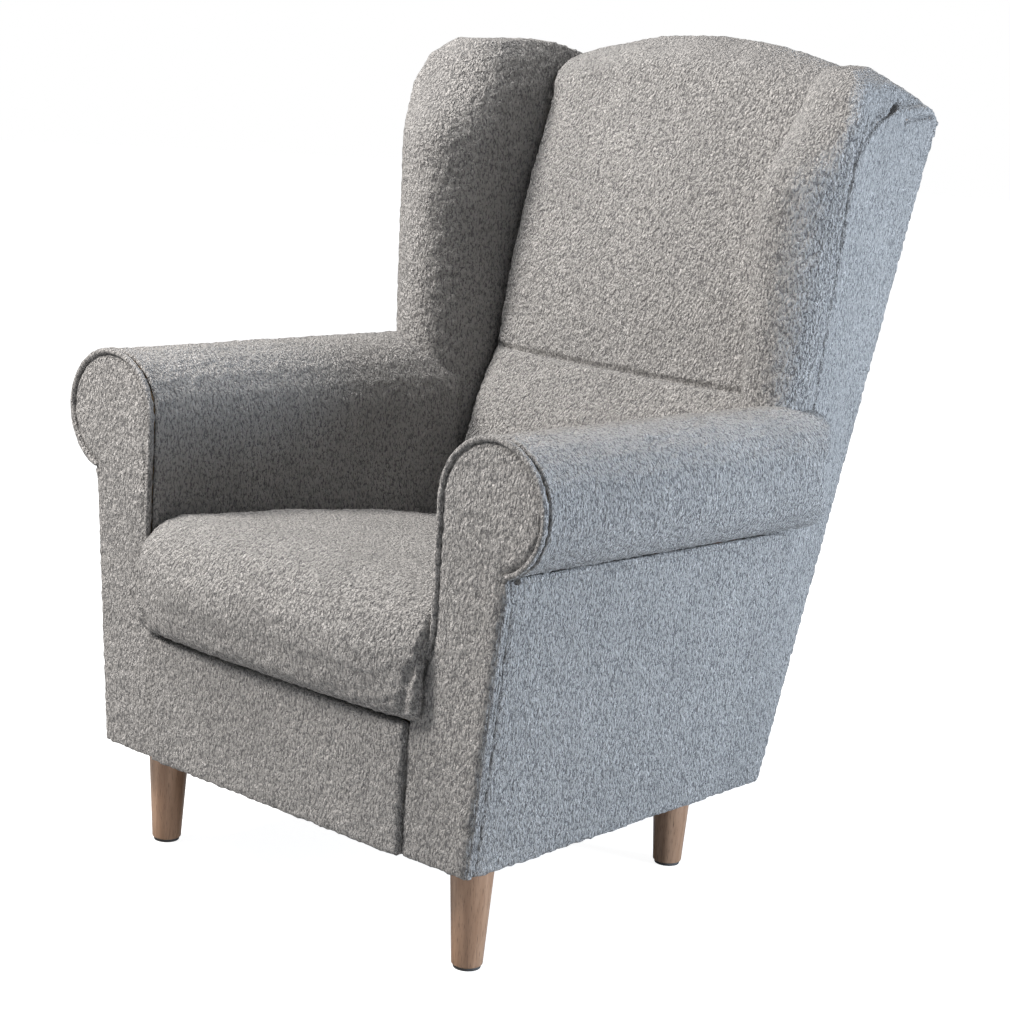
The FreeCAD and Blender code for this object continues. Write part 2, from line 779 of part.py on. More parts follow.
def make_inner_arm_panels():
    """Hardboard panels that the inner arm foam lies on."""
    body = new_body("inner_arm_panel")
    corners = arm_inside_outline(S["arm_panel_foot"], arm_rail_top)
    pad(body, "inner_arm_panel_pad", "YZ_Plane", corners, panel_inner, S["arm_panel_thickness"])
    keep_pair(body, "inner_arm_panel")


def wing_slab(name, outer_depth, thickness):
    """Flat slab along the flared side above the arm, between two depths under its face."""
    body = new_body(name)
    profiles = []
    for number, z in enumerate((S["wing_foot"] - BEYOND, S["overall_height"])):
        front = wing_front - BEYOND
        rear = rear_plane(z) + BEYOND
        near = outer_depth / cosine(S["wing_flare"])
        far = (outer_depth + thickness) / cosine(S["wing_flare"])
        corners = [
            line(wing_side(front, z) - far, front),
            line(wing_side(front, z) - near, front),
            line(wing_side(rear, z) - near, rear),
            line(wing_side(rear, z) - far, rear),
        ]
        profiles.append(sketch(body, f"{name}_plan_{number}", "XY_Plane", corners, offset=z))
    loft(body, name + "_loft", profiles)
    return body


def wing_board_outline():
    """Side outline of the wing board: upright front, round corner, falling top."""
    front = wing_front + S["wing_board_setback"]
    corner = S["wing_panel_corner"]
    top = wing_board_top
    low = S["wing_foot"]
    return [
        line(front, low),
        line(rear_plane(low) - post_front, low),
        line(rear_plane(top) - post_front, top),
        line(front + corner, top),
        right_arc(front, top - corner, corner),
    ]


def make_wing_boards(side_space):
    """Plywood boards inside the wings, fixed to the front faces of the back posts."""
    slab = wing_slab("wing_board_slab", skin, S["wing_board_thickness"])
    outline = new_body("wing_board_side")
    reach = half_width
    pad(outline, "wing_board_side_pad", "YZ_Plane", wing_board_outline(), 0, reach)
    board = common("wing_board_whole", slab, outline)
    return keep_pair(cut("wing_board", board, side_space), "wing_board")


# Seat: zigzag springs in clips, a foam block with a round nose and its cover.

seat_bottom = derived("seat_bottom",
                      rail_top + S["clip_metal"] * 2 + S["spring_wire"] + gap * 2,
                      "seat foam on the spring clips")
spring_front = derived("spring_front", board_front + S["rail_thickness"] / 2, "front clips")
spring_rear = derived("spring_rear",
                      rear_plane(rail_top) - level_skin - level(S["rail_thickness"]) / 2,
                      "rear clips")
spring_z = derived("spring_z", rail_top + S["clip_metal"] + S["spring_wire"] / 2 + gap / 2,
                   "springs' centre height")
spring_start = -S["spring_pitch"] * (S["spring_count"] - 1) / 2


BEND_CHORDS = 3


def bend_corners(centre_x, centre_y, radius, way):
    """Corners of a half-round bend to the right (way 1) or to the left (way -1)."""
    return straight(fan(centre_x, centre_y, radius, -90, -90 + way * 180, BEND_CHORDS))


def spring_wave_outline():
    """Outline of one wave of a zigzag spring: two runs, two bends and a cut end each way."""
    half_wire = S["spring_wire"] / 2
    turn = (spring_rear - spring_front) / (S["spring_waves"] * 4)
    reach = S["spring_width"] / 2 - turn
    right = spring_start + reach
    left = spring_start - reach
    first = spring_front + turn
    second = spring_front + turn * 3
    start = spring_front
    end = spring_front + turn * 4
    return ([line(spring_start, start - half_wire)]
            + bend_corners(right, first, turn + half_wire, 1)
            + bend_corners(left, second, turn - half_wire, -1)
            + [line(spring_start, end - half_wire), line(spring_start, end + half_wire)]
            + bend_corners(left, second, turn + half_wire, -1)[::-1]
            + bend_corners(right, first, turn - half_wire, 1)[::-1]
            + [line(spring_start, start + half_wire)])


def make_seat_springs():
    """Zigzag springs side by side: one wave repeated along its spring and across the seat."""
    body = new_body("seat_springs")
    wave = pad(body, "spring_wave", "XY_Plane", spring_wave_outline(),
               spring_z - S["spring_wire"] / 2, S["spring_wire"])
    doc.recompute()
    wave_length = (spring_rear - spring_front) / S["spring_waves"]
    rows = [
        pattern(body, "spring_waves_row", "Y_Axis", wave_length, S["spring_waves"]),
        pattern(body, "spring_row", "X_Axis", S["spring_pitch"], S["spring_count"]),
    ]
    both = body.newObject("PartDesign::MultiTransform", "spring_rows")
    both.Originals = [wave]
    both.Transformations = rows
    body.Tip = both
    keep(body, "seat_springs")


def pattern(body, name, axis, pitch, count):
    """Straight pattern along one of the body's own axes."""
    row = body.newObject("PartDesign::LinearPattern", name)
    row.Direction = (origin_item(body, axis), [""])
    bind(row, "Length", pitch * (count - 1))
    bind(row, "Occurrences", count)
    return row


def repeat_along(body, feature, name, axis, pitch, count):
    """Repeat a feature along one of the body's own axes, as separate solids."""
    row = pattern(body, name, axis, pitch, count)
    row.Originals = [feature]
    body.Tip = row


def clip_outline(y, way):
    """Side outline of a clip: a plate on the rail that folds back over the wire."""
    metal = S["clip_metal"]
    room = S["spring_wire"] + gap
    outer = y - way * S["clip_length"] / 2
    return [
        line(outer, rail_top),
        line(y + way * S["clip_length"] / 2, rail_top),
        line(y + way * S["clip_length"] / 2, rail_top + metal),
        line(outer + way * metal, rail_top + metal),
        line(outer + way * metal, rail_top + metal + room),
        line(y + way * S["spring_wire"], rail_top + metal + room),
        line(y + way * S["spring_wire"], rail_top + metal * 2 + room),
        line(outer, rail_top + metal * 2 + room),
    ]


def make_spring_clips():
    """Clips on the front and rear rails that hold the springs' ends."""
    rows = []
    for name, y, way in (("front", spring_front, 1), ("rear", spring_rear, -1)):
        body = new_body(f"spring_clips_{name}")
        start = spring_start - S["clip_width"] / 2
        plate = pad(body, f"clip_{name}", "YZ_Plane", clip_outline(y, way), start,
                    S["clip_width"])
        doc.recompute()
        repeat_along(body, plate, f"clip_row_{name}", "X_Axis", S["spring_pitch"],
                     S["spring_count"])
        rows.append(body)
    keep(compound("spring_clips", rows), "spring_clips")


STATIONS = (-1, -0.8, -0.4, 0, 0.4, 0.8, 1)
NOSE_CHORDS = 4
LIP_CHORDS = 3
SWELL_CHORDS = 3


def seat_profile(share, inset, under):
    """Side outline of the seat at a share of its half width.

    under is None for the full outline, or how far the outline drops behind the front
    boards, where the foam lies bare on the springs.
    """
    square = share * share
    top = S["seat_height"] - S["seat_side_drop"] * square - inset
    nose = -rear_top + S["seat_side_draw"] * square * square + inset
    nose_round = S["seat_nose_radius"] - inset
    lip_round = S["seat_lip_radius"] - inset
    low = seat_bottom + inset
    rear_low = seat_bottom if under is None else seat_bottom - under
    crown = S["back_crown"] * (1 - square) + S["seat_back_clearance"]
    fall = tangent(S["seat_fall"])
    foot = inside_plane(0) - crown
    run = foot - (nose + nose_round)
    rear_high = (top - fall * run) / (1 + fall * inside_rise)
    rear = (foot + inside_rise * rear_high, rear_high)
    nose_top = (nose + nose_round, top)
    points = swell(rear, nose_top, 0, S["seat_swell"], SWELL_CHORDS)
    points += fan(nose + nose_round, top - nose_round, nose_round, 90, 180, NOSE_CHORDS)[1:]
    points += fan(nose + lip_round, low + lip_round, lip_round, 180, 270, LIP_CHORDS)
    if under is not None:
        points += [(board_front, low), (board_front, rear_low)]
    points += [(foot + inside_rise * rear_low, rear_low), rear]
    return straight(points)


def seat_form(name, inset, under):
    """Seat block with its round nose, crown and drawn-in sides."""
    body = new_body(name)
    profiles = []
    for number, share in enumerate(STATIONS):
        corners = seat_profile(share, measure(inset), under)
        offset = (half_seat - gap - inset) * share
        profiles.append(sketch(body, f"{name}_section_{number}", "YZ_Plane", corners,
                               offset=offset))
    loft(body, name + "_loft", profiles)
    return body


def make_seat():
    """Seat foam and seat cover, both cut clear of the arms' front ends."""
    arm_end = new_body("arm_end_space")
    reach = S["welt_inset"] - S["welt_diameter"] / 2 - S["seat_end_clearance"]
    depth = board_rear - arm_front + gap * 2
    pad(arm_end, "arm_end_pad", "XZ_Plane", scroll_outline(reach), arm_front - gap, depth)
    arm_ends = compound("arm_end_spaces", [arm_end, mirror_image(arm_end, "arm_end_twin")])
    block = seat_form("seat_block", cover + gap, measure(0))
    keep(cut("seat_foam", block, arm_ends), "seat_foam")
    outside = seat_form("seat_outside", 0, None)
    hollow = seat_form("seat_hollow", cover, S["frame_lift"])
    shell = cut("seat_shell", outside, hollow)
    keep(cut("seat_cover", shell, arm_ends), "seat_cover")


# Back: webbing on the posts, foam, and two covers that meet in a seam.

webbing_front = derived("webbing_front",
                        post_front + level(S["webbing_thickness"] + gap), "webbing's face")


def make_back_webbing():
    """Straps across the posts' front faces, one pattern of one strap."""
    body = new_body("back_webbing")
    half = half_rear - skin - S["post_thickness"] + S["webbing_lap"]
    low = slope(S["webbing_start"])
    corners = [
        line(-half, low),
        line(half, low),
        line(half, low + S["webbing_width"]),
        line(-half, low + S["webbing_width"]),
    ]
    front = -(skin + S["post_depth"] + S["webbing_thickness"])
    strap = pad(body, "webbing_strap", "XZ_Plane", corners, front, S["webbing_thickness"])
    doc.recompute()
    repeat_along(body, strap, "webbing_row", "Z_Axis", S["webbing_pitch"], S["webbing_count"])
    back_placement(body)
    keep(body, "back_webbing")


CREST_CHORDS = 4
CREST_REAR_CHORDS = 2


def back_line(share, inset):
    """Front and top outline of the back at a share of its half width, from foot to rear.

    Returns the points (y, z) of each stretch under the name of its end.
    """
    square = share * share
    reach = (half_seat - gap) * share / half_rear
    fall = S["back_arch"] * reach * reach
    crown = S["back_crown"] * (1 - square)
    setin = inset / cosine(S["inside_lean"])
    crest_z = S["overall_height"] - fall - inset
    roll_z = S["overall_height"] - fall - S["top_roll_rise"]
    rear_z = back_panel_top - fall - inset
    seam_z = S["back_seam_height"]

    def front(z):
        return inside_plane(z) - crown + setin

    low = (front(S["back_bottom"]), S["back_bottom"])
    tuck = (front(S["lumbar_start"]), S["lumbar_start"])
    seam = (front(seam_z) + S["seam_depth"], seam_z)
    roll = (front(roll_z), roll_z)
    crest = (rear_top - S["crest_setback"], crest_z)
    rear = (rear_plane(rear_z) - level(cover) - gap, rear_z)
    crest_points = [(crest[0] - (crest[0] - roll[0]) * level_share,
                     roll[1] + (crest[1] - roll[1]) * upright_share)
                    for level_share, upright_share in fan(0, 0, 1, 0, 90, CREST_CHORDS)[1:]]
    rear_points = []
    for number in range(1, CREST_REAR_CHORDS + 1):
        way = number / CREST_REAR_CHORDS
        rear_points.append((crest[0] + (rear[0] - crest[0]) * way,
                            crest[1] + (rear[1] - crest[1]) * way * way))
    return {
        "low": [low],
        "tuck": [tuck],
        "seam": swell(tuck, seam, -S["lumbar_swell"], 0, SWELL_CHORDS),
        "roll": swell(seam, roll, -S["shoulder_swell"], 0, SWELL_CHORDS),
        "crest": crest_points,
        "rear": rear_points,
    }


def along(stretches, names):
    """Points from the end of the first named stretch through all the others."""
    points = stretches[names[0]][-1:]
    for name in names[1:]:
        points += stretches[name]
    return points


def strip_outline(outer, inner, names):
    """Closed outline of a cover: along its outer line and back along its inner one."""
    return straight(along(outer, names) + along(inner, names)[::-1])


def back_cover(name, names):
    """Cover of the inside back between two of its lines."""
    body = new_body(name)
    profiles = []
    for number, share in enumerate(STATIONS):
        outer = back_line(share, measure(0))
        inner = back_line(share, cover)
        corners = strip_outline(outer, inner, names)
        offset = (half_seat - gap) * share
        profiles.append(sketch(body, f"{name}_section_{number}", "YZ_Plane", corners,
                               offset=offset))
    loft(body, name + "_loft", profiles)
    keep(body, name)


def leaning_point(way_up, depth):
    """Depth and height of a point on the leaning back: its way up, its depth under it."""
    turn = cosine(S["back_lean"])
    lift = sine(S["back_lean"])
    return (rear_plane(S["body_bottom"]) + way_up * lift - depth * turn,
            S["body_bottom"] + way_up * turn + depth * lift)


def back_foam_outline(share):
    """Side outline of the back foam, which lies on the webbing and over the top rail."""
    front = back_line(share, cover + gap)
    reach = (half_seat - cover - gap * 2) * share / half_rear
    rail_top_way = (slope(back_panel_top - S["back_arch"] * reach * reach)
                    - S["post_thickness"] + S["rail_padding_gap"])
    webbing_depth = skin + S["post_depth"] + S["webbing_thickness"] + gap
    points = [(rear_plane(S["back_bottom"]) - webbing_front, S["back_bottom"])]
    points += along(front, ("low", "tuck", "seam", "roll", "crest", "rear"))
    points.append(leaning_point(rail_top_way, cover + gap))
    points.append(leaning_point(rail_top_way, webbing_depth))
    return straight(points)


def make_back_foam():
    """Foam of the inside back with its crown, lumbar swell, seam and top roll."""
    body = new_body("back_foam")
    profiles = []
    for number, share in enumerate(STATIONS):
        offset = (half_seat - cover - gap * 2) * share
        profiles.append(sketch(body, f"back_foam_section_{number}", "YZ_Plane",
                               back_foam_outline(share), offset=offset))
    loft(body, "back_foam_loft", profiles)
    keep(body, "back_foam")


# Outside back: a stretched cover over a hardboard liner, both square to the lean.

def leaning_sheet(name, half, low, depth, thickness, arch_inset):
    """Arched sheet parallel to the outside back, at a depth under it."""
    body = new_body(name)
    corners = arched_outline(half, low, arch_inset)
    pad(body, name + "_pad", "XZ_Plane", corners, -(depth + thickness), thickness)
    back_placement(body)
    keep(body, name)


def make_outside_back():
    """Cover and liner of the outside back."""
    leaning_sheet("outside_back_cover", half_rear, measure(0), measure(0), cover, measure(0))
    leaning_sheet("back_liner", half_rear - skin, slope(frame_bottom), cover + gap,
                  S["liner_thickness"], S["post_thickness"])


# Sides: a cover and a liner, flat below the arm's neck and flared above it.

def side_section(depth, thickness, z, breaks_at_seam):
    """Plan of a side sheet at a height, at a depth under the side's outer face.

    The flare begins at the wing's seam, or short before the rear edge at the hem.
    """
    near = depth / cosine(S["wing_flare"])
    far = (depth + thickness) / cosine(S["wing_flare"])
    rear_y = rear_plane(z) - level(cover) - gap
    rear_x = wing_side(rear_y, z)
    front_x = half_front + side_slant * (z - S["body_bottom"])
    if breaks_at_seam:
        break_y = wing_seam
        break_x = side_break_x
    else:
        break_y = rear_plane(z) - S["side_break_setback"]
        share = (break_y - arm_start) / (rear_y - arm_start)
        break_x = front_x + (rear_x - front_x) * share
    return [
        line(front_x - far, arm_start),
        line(front_x - near, arm_start),
        line(break_x - near, break_y),
        line(rear_x - near, rear_y),
        line(rear_x - far, rear_y),
        line(break_x - far, break_y),
    ]


def side_lower(name, depth, thickness):
    """Ruled stretch of a side sheet, from the hem to the upper end under the roll."""
    body = new_body(name)
    profiles = []
    for number, (z, breaks_at_seam) in enumerate(
            ((S["body_bottom"], False), (wing_side_z, True))):
        corners = side_section(depth, thickness, z, breaks_at_seam)
        profiles.append(sketch(body, f"{name}_plan_{number}", "XY_Plane", corners, offset=z))
    loft(body, name + "_loft", profiles)
    return body


def side_upper_outline(margin):
    """Side outline of the flared panel beside the wing, with a round front corner."""
    front = wing_seam + margin
    top = side_panel_top - margin
    corner = S["wing_panel_corner"]
    rear_inset = level(cover) + gap
    return [
        line(front, wing_side_z),
        line(rear_plane(wing_side_z) - rear_inset, wing_side_z),
        line(rear_plane(top) - rear_inset, top),
        line(front + corner, top),
        right_arc(front, top - corner, corner),
    ]


def side_sheet(name, depth, thickness, arm_roll_space):
    """Sheet over one side: ruled below, flat and flared above, trimmed by the arm roll."""
    lower = cut(name + "_trimmed", side_lower(name + "_lower", depth, thickness),
                arm_roll_space)
    slab = wing_slab(name + "_slab", depth, thickness)
    outline = new_body(name + "_outline")
    reach = half_width
    pad(outline, name + "_outline_pad", "YZ_Plane", side_upper_outline(gap), 0, reach)
    upper = common(name + "_upper", slab, outline)
    whole = doc.addObject("Part::Fuse", name)
    whole.Base = lower
    whole.Tool = upper
    keep_pair(whole, name)


# Wings: a thick roll along the front edge, a dome on top.

WING_DOME_ANGLES = (0, 25, 50, 75)
WING_DOME_ROUNDS = (1, 1, 0.85, 0.5)
INNER_ROUND_CHORDS = 6
OUTER_ROUND_CHORDS = 3


def tilted_height(z):
    """Height at the middle plane's origin of a section that falls to the rear."""
    return z + fall_rise * (wing_front + S["wing_crest_setback"])


def wing_section(z, angle, inner_round, inset, tail):
    """Plan of the wing on a tilted plane, drawn in by the dome's angle."""
    draw = 1 - cosine(angle)
    level_z = tilted_height(z)
    front = wing_front + S["wing_dome_setback"] * draw + inset
    rear_reach = (rear_top - lean_rise * (back_panel_top - level_z)
                  - level(cover) - gap)
    rear_end = rear_reach / (1 + lean_rise * fall_rise)
    rear = rear_end + tail
    side_draw = S["wing_dome_draw"] * draw + inset / cosine(S["wing_flare"])
    inner_rear = half_seat + inset
    inner = inner_rear + S["wing_dome_draw"] * draw
    outer_round = S["wing_outer_round"]
    round_inner = inner_round - inset
    inner_run = (inner - inner_rear) / (rear_end - front - round_inner)

    def outer(y):
        return wing_side(y, level_z - fall_rise * y) - side_draw

    corner = front + outer_round
    points = [(inner_rear - inner_run * tail, rear)]
    points += fan(inner + round_inner, front + round_inner, round_inner, 180, 270,
                  INNER_ROUND_CHORDS)
    points += fan(outer(corner) - outer_round, corner, outer_round, 270, 360,
                  OUTER_ROUND_CHORDS)
    points.append((outer(rear), rear))
    return [line(x, y / cosine(S["wing_top_fall"])) for x, y in points]


def wing_form(name, inset, foot, tail):
    """Wing with its front roll and dome under the back's arch, set in by an inset."""
    body = new_body(name + "_whole")
    dome_start = wing_dome_foot - inset
    levels = [
        (foot, 0, S["wing_inner_round"]),
        (wing_dome_foot - S["wing_lean_run"], 0, S["wing_inner_round"]),
    ]
    for angle, share in zip(WING_DOME_ANGLES, WING_DOME_ROUNDS):
        z = dome_start + S["wing_dome_height"] * sine(angle)
        levels.append((z, angle, S["wing_shoulder_round"] * share))
    profiles = []
    for number, (z, angle, inner_round) in enumerate(levels):
        corners = wing_section(z, angle, inner_round, inset, tail)
        profiles.append(sketch(body, f"{name}_section_{number}", "XY_Plane", corners,
                               offset=tilted_height(z), tilt=S["wing_top_fall"]))
    loft(body, name + "_loft", profiles)
    under_arch = new_body(name + "_under_arch")
    corners = arched_outline(half_width, -BEYOND, inset - S["shoulder_rise"])
    pad(under_arch, name + "_arch_pad", "XZ_Plane", corners, -S["overall_depth"],
        S["overall_depth"] + BEYOND)
    back_placement(under_arch)
    return common(name, body, under_arch)


def side_space(name, corners, width):
    """Space through one side, for cutting: an outline from the middle plane outwards."""
    body = new_body(name)
    pad(body, name + "_pad", "YZ_Plane", corners, 0, width)
    return body


def wing_rabbet():
    """Space of the outside panel beside the wing."""
    top = side_panel_top
    corner = S["wing_panel_corner"]
    outline = side_space("wing_rabbet_outline", [
        line(wing_seam, wing_side_z),
        line(rear_plane(wing_side_z) + BEYOND, wing_side_z),
        line(rear_plane(top) + BEYOND, top),
        line(wing_seam + corner, top),
        right_arc(wing_seam, top - corner, corner),
    ], S["overall_width"])
    slab = wing_slab("wing_rabbet_slab", measure(-BEYOND), skin + BEYOND)
    return common("wing_rabbet", slab, outline)


def make_wings(wing_board, arm_rail, below_arm_space):
    """Cover and foam of a wing, cut round the frame that they wrap."""
    low = S["wing_foot"] - BEYOND
    top = side_panel_top
    rabbet = wing_rabbet()
    tuck_space = side_space("wing_tuck_space", [
        line(inside_plane(low) + S["wing_tuck"], low),
        line(rear_plane(low) + BEYOND, low),
        line(rear_plane(top) + BEYOND, top),
        line(inside_plane(top) + S["wing_tuck"], top),
    ], half_rear - skin)
    frame_space = side_space("wing_frame_space", [
        line(rear_plane(low) - webbing_front, low),
        line(rear_plane(low) + BEYOND, low),
        line(rear_plane(top) + BEYOND, top),
        line(rear_plane(top) - webbing_front, top),
    ], S["overall_width"])
    outside = wing_form("wing_outside", measure(0), S["wing_foot"], measure(0))
    hollow = wing_form("wing_hollow", cover, S["wing_foot"] - BEYOND, measure(BEYOND))
    shell = cut_all("wing_cover", outside,
                    [hollow, rabbet, below_arm_space, tuck_space, arm_rail])
    keep_pair(shell, "wing_cover")
    filling = wing_form("wing_filling", cover + gap, S["wing_foot"], -gap)
    core = cut_all("wing_foam", filling,
                   [rabbet, below_arm_space, frame_space, wing_board, arm_rail])
    keep_pair(core, "wing_foam")


# Arms: a cover that hooks over the roll, foams under it, and a welted front facing.

ROLL_CHORDS = 13
ROLL_FOAM_CHORDS = 10
NECK_START = -S["neck_angle"]


def roll_points(axis_z, radius):
    """Points on the arm roll from its inner face over the top to the neck."""
    return fan(scroll_x, axis_z, radius, 180, NECK_START, ROLL_CHORDS)


def arm_cover_outline(axis_z):
    """Section inside the arm cover's outer face, from the inner panel to the neck."""
    neck_in_x, neck_in_z = roll_points(axis_z, S["scroll_radius"] - cover)[-1]
    return straight([(half_seat, S["arm_panel_foot"])]
                    + roll_points(axis_z, S["scroll_radius"])
                    + [(neck_in_x, neck_in_z),
                       (panel_inner, neck_in_z),
                       (panel_inner, S["arm_panel_foot"])])


def arm_hollow_outline(axis_z):
    """Section of the space inside the arm cover, open below the cover's two edges."""
    low = S["arm_panel_foot"] - BEYOND
    points = roll_points(axis_z, S["scroll_radius"] - cover)
    return straight([(half_seat + cover, low)] + points + [(points[-1][0], low)])


def arm_roll_outline(axis_z):
    """Section of the roll's foam, flat on the arm rail."""
    inner = S["scroll_radius"] - cover - gap
    drop = axis_z - arm_rail_top
    reach = inner * cosine((180 - NECK_START) / (ROLL_CHORDS * 2))
    return straight([(scroll_x - inner, arm_rail_top)]
                    + roll_points(axis_z, inner)[:ROLL_FOAM_CHORDS + 1]
                    + [(scroll_x + root(reach * reach - drop * drop), arm_rail_top)])


def arm_roll_circle(axis_z):
    """Section of the whole roll with a gap round it, for cutting."""
    return straight(fan(scroll_x, axis_z, S["scroll_radius"] + gap, 180,
                        NECK_START - (180 - S["neck_angle"]), ROLL_CHORDS * 2)[:-1])


def arm_plan(inset, end):
    """Plan inside an arm's outer rear corner, set in by an inset, from front to end."""
    margin = S["roll_end_margin"]
    side = scroll_x + S["scroll_radius"] + margin - inset
    corner = S["roll_end_round"]
    front = arm_front - BEYOND
    rear = arm_rear - inset
    return [
        line(half_seat - BEYOND, front),
        line(side, front),
        line(side, rear - corner),
        right_arc(side - corner, rear, corner),
        line(side - corner, end),
        line(half_seat - BEYOND, end),
    ]


def arm_form(name, start, end, outline, inset):
    """An arm section carried from a depth to another, with the round rear corner."""
    body = new_body(name + "_whole")
    profiles = []
    for number, y in enumerate((start, end)):
        axis_z = scroll_z - S["arm_drop"] * (y - arm_start) / (arm_rear - arm_start)
        profiles.append(sketch(body, f"{name}_section_{number}", "XZ_Plane", outline(axis_z),
                               offset=-y))
    loft(body, name + "_loft", profiles)
    plan = new_body(name + "_plan")
    height = S["overall_height"]
    pad(plan, name + "_plan_pad", "XY_Plane", arm_plan(inset, end + BEYOND), measure(0), height)
    return common(name, body, plan)


def make_arm_covers(front_board):
    """Covers of the arms, closed over their rear corner, clear of the front boards."""
    outside = arm_form("arm_outside", arm_start, arm_rear, arm_cover_outline, measure(0))
    hollow = arm_form("arm_hollow", arm_start - BEYOND, arm_rear + BEYOND,
                      arm_hollow_outline, cover)
    keep_pair(cut_all("arm_cover", outside, [hollow, front_board]), "arm_cover")


def make_inner_arm_foams():
    """Foam pads on the inner arm panels."""
    body = new_body("inner_arm_foam")
    corners = arm_inside_outline(S["arm_panel_foot"], arm_rail_top)
    start = half_seat + cover + gap
    pad(body, "inner_arm_foam_pad", "YZ_Plane", corners, start, panel_inner - start)
    keep_pair(body, "inner_arm_foam")


def make_arm_facings():
    """Front facings of the arms: a cover and its wadding on the front board."""
    for name, inset, front, depth in (
            ("arm_facing", measure(0), arm_front, cover),
            ("facing_padding", gap, arm_front + cover, S["facing_padding"])):
        body = new_body(name)
        pad(body, name + "_pad", "XZ_Plane", scroll_outline(inset), front, depth)
        keep_pair(body, name)


def welt_line(inset):
    """Line along the welt: up the facing's inner edge and round the scroll to the neck."""
    neck, top, scroll_end, step_top, step_middle, step_low = scroll_outline(inset)[2:]
    radius = S["scroll_radius"] - inset
    return [
        line(step_low.x, step_low.y),
        left_arc(step_middle.x, step_middle.y, step_low.radius),
        right_arc(step_top.x, step_top.y, step_middle.radius),
        line(scroll_end.x, scroll_end.y),
        left_arc(top.x, top.y, radius),
        left_arc(scroll_x + radius, scroll_z, radius),
        left_arc(neck.x, neck.y, radius),
    ]


def way_back(steps):
    """The same line walked from its end to its start."""
    back = [line(steps[-1].x, steps[-1].y)]
    for step, before in zip(steps[::-1], steps[-2::-1]):
        back.append(Step(before.x, before.y, step.radius, -step.bulge))
    return back


def side_welt_outline(z, half_width, half_depth):
    """Eight-sided section of the straight welt at a height of the facing's outer edge."""
    share = (z - S["body_bottom"]) / (neck_z - S["body_bottom"])
    x = half_front - S["welt_inset"] + (neck_x - half_front) * share
    return [line(x - half_width, welt_y - half_depth / 2),
            line(x - half_width / 2, welt_y - half_depth),
            line(x + half_width / 2, welt_y - half_depth),
            line(x + half_width, welt_y - half_depth / 2),
            line(x + half_width, welt_y + half_depth / 2),
            line(x + half_width / 2, welt_y + half_depth),
            line(x - half_width / 2, welt_y + half_depth),
            line(x - half_width, welt_y + half_depth / 2)]


welt_y = derived("welt_y", board_front + S["welt_diameter"] / 2, "piping centre line's depth")


def make_arm_welts():
    """Piping round each facing: one piece round the scroll, one down the outer edge."""
    radius = S["welt_diameter"] / 2
    scroll = new_body("scroll_welt")
    profiles = []
    for number, (y, half_width) in enumerate((
            (welt_y - radius, radius / 2), (welt_y, radius), (welt_y + radius, radius / 2))):
        outer = welt_line(S["welt_inset"] - half_width)
        inner = welt_line(S["welt_inset"] + half_width)
        profiles.append(sketch(scroll, f"scroll_welt_{number}", "XZ_Plane",
                               outer + way_back(inner), offset=-y))
    loft(scroll, "scroll_welt_loft", profiles)
    side = new_body("side_welt")
    profiles = []
    for number, z in enumerate((S["body_bottom"], neck_z - radius)):
        profiles.append(sketch(side, f"side_welt_{number}", "XY_Plane",
                               side_welt_outline(z, radius, radius), offset=z))
    loft(side, "side_welt_loft", profiles)
    keep_pair(compound("arm_welt", [scroll, side]), "arm_welt")


# Front apron, cloth under the body, legs and their fastenings.

LEG_SIDES = 28
BOLT_SIDES = 12
LEVEL_NORMAL = 0.5


def make_apron():
    """Padded apron between the arm facings, under the seat's nose."""
    front = arm_front - S["apron_proud"]
    half = half_apron - gap
    height = seat_bottom - gap - S["body_bottom"]
    shell = new_body("front_cover")
    pad(shell, "front_cover_pad", "XY_Plane", [
        line(-half, front),
        line(half, front),
        line(half, board_front),
        line(half - cover, board_front),
        line(half - cover, front + cover),
        line(-half + cover, front + cover),
        line(-half + cover, board_front),
        line(-half, board_front),
    ], S["body_bottom"], height)
    keep(shell, "front_cover")
    filling = new_body("front_padding")
    inside = half - cover - gap
    pad(filling, "front_padding_pad", "XY_Plane", [
        line(-inside, front + cover + gap),
        line(inside, front + cover + gap),
        line(inside, board_front),
        line(-inside, board_front),
    ], S["body_bottom"], height)
    keep(filling, "front_padding")


def make_dust_cover():
    """Cloth under the frame, with a hole round each leg."""
    body = new_body("dust_cover")
    rear = rear_plane(frame_bottom) - level_skin
    front_half = half_front - S["board_inset"]
    rear_half = half_rear - S["board_inset"]
    thickness = S["dust_cover_thickness"]
    pad(body, "dust_cover_pad", "XY_Plane", [
        line(-front_half, board_front),
        line(front_half, board_front),
        line(rear_half, rear),
        line(-rear_half, rear),
    ], frame_bottom - thickness, thickness)
    doc.recompute()
    holes(body, "dust_cover_holes", LEG_PLACES, S["leg_top_diameter"] / 2 + S["bolt_clearance"],
          frame_bottom, thickness)
    keep(body, "dust_cover")


def ring(place, radius, sides):
    """Round outline at a place, drawn with equal sides."""
    return straight(fan(place[0], place[1], radius, 0, 360, sides)[:-1])


def prism(body, name, place, radius, sides, low, high):
    """Add an upright round piece to a body, from a height to another."""
    return pad(body, name, "XY_Plane", ring(place, radius, sides), low, high - low)


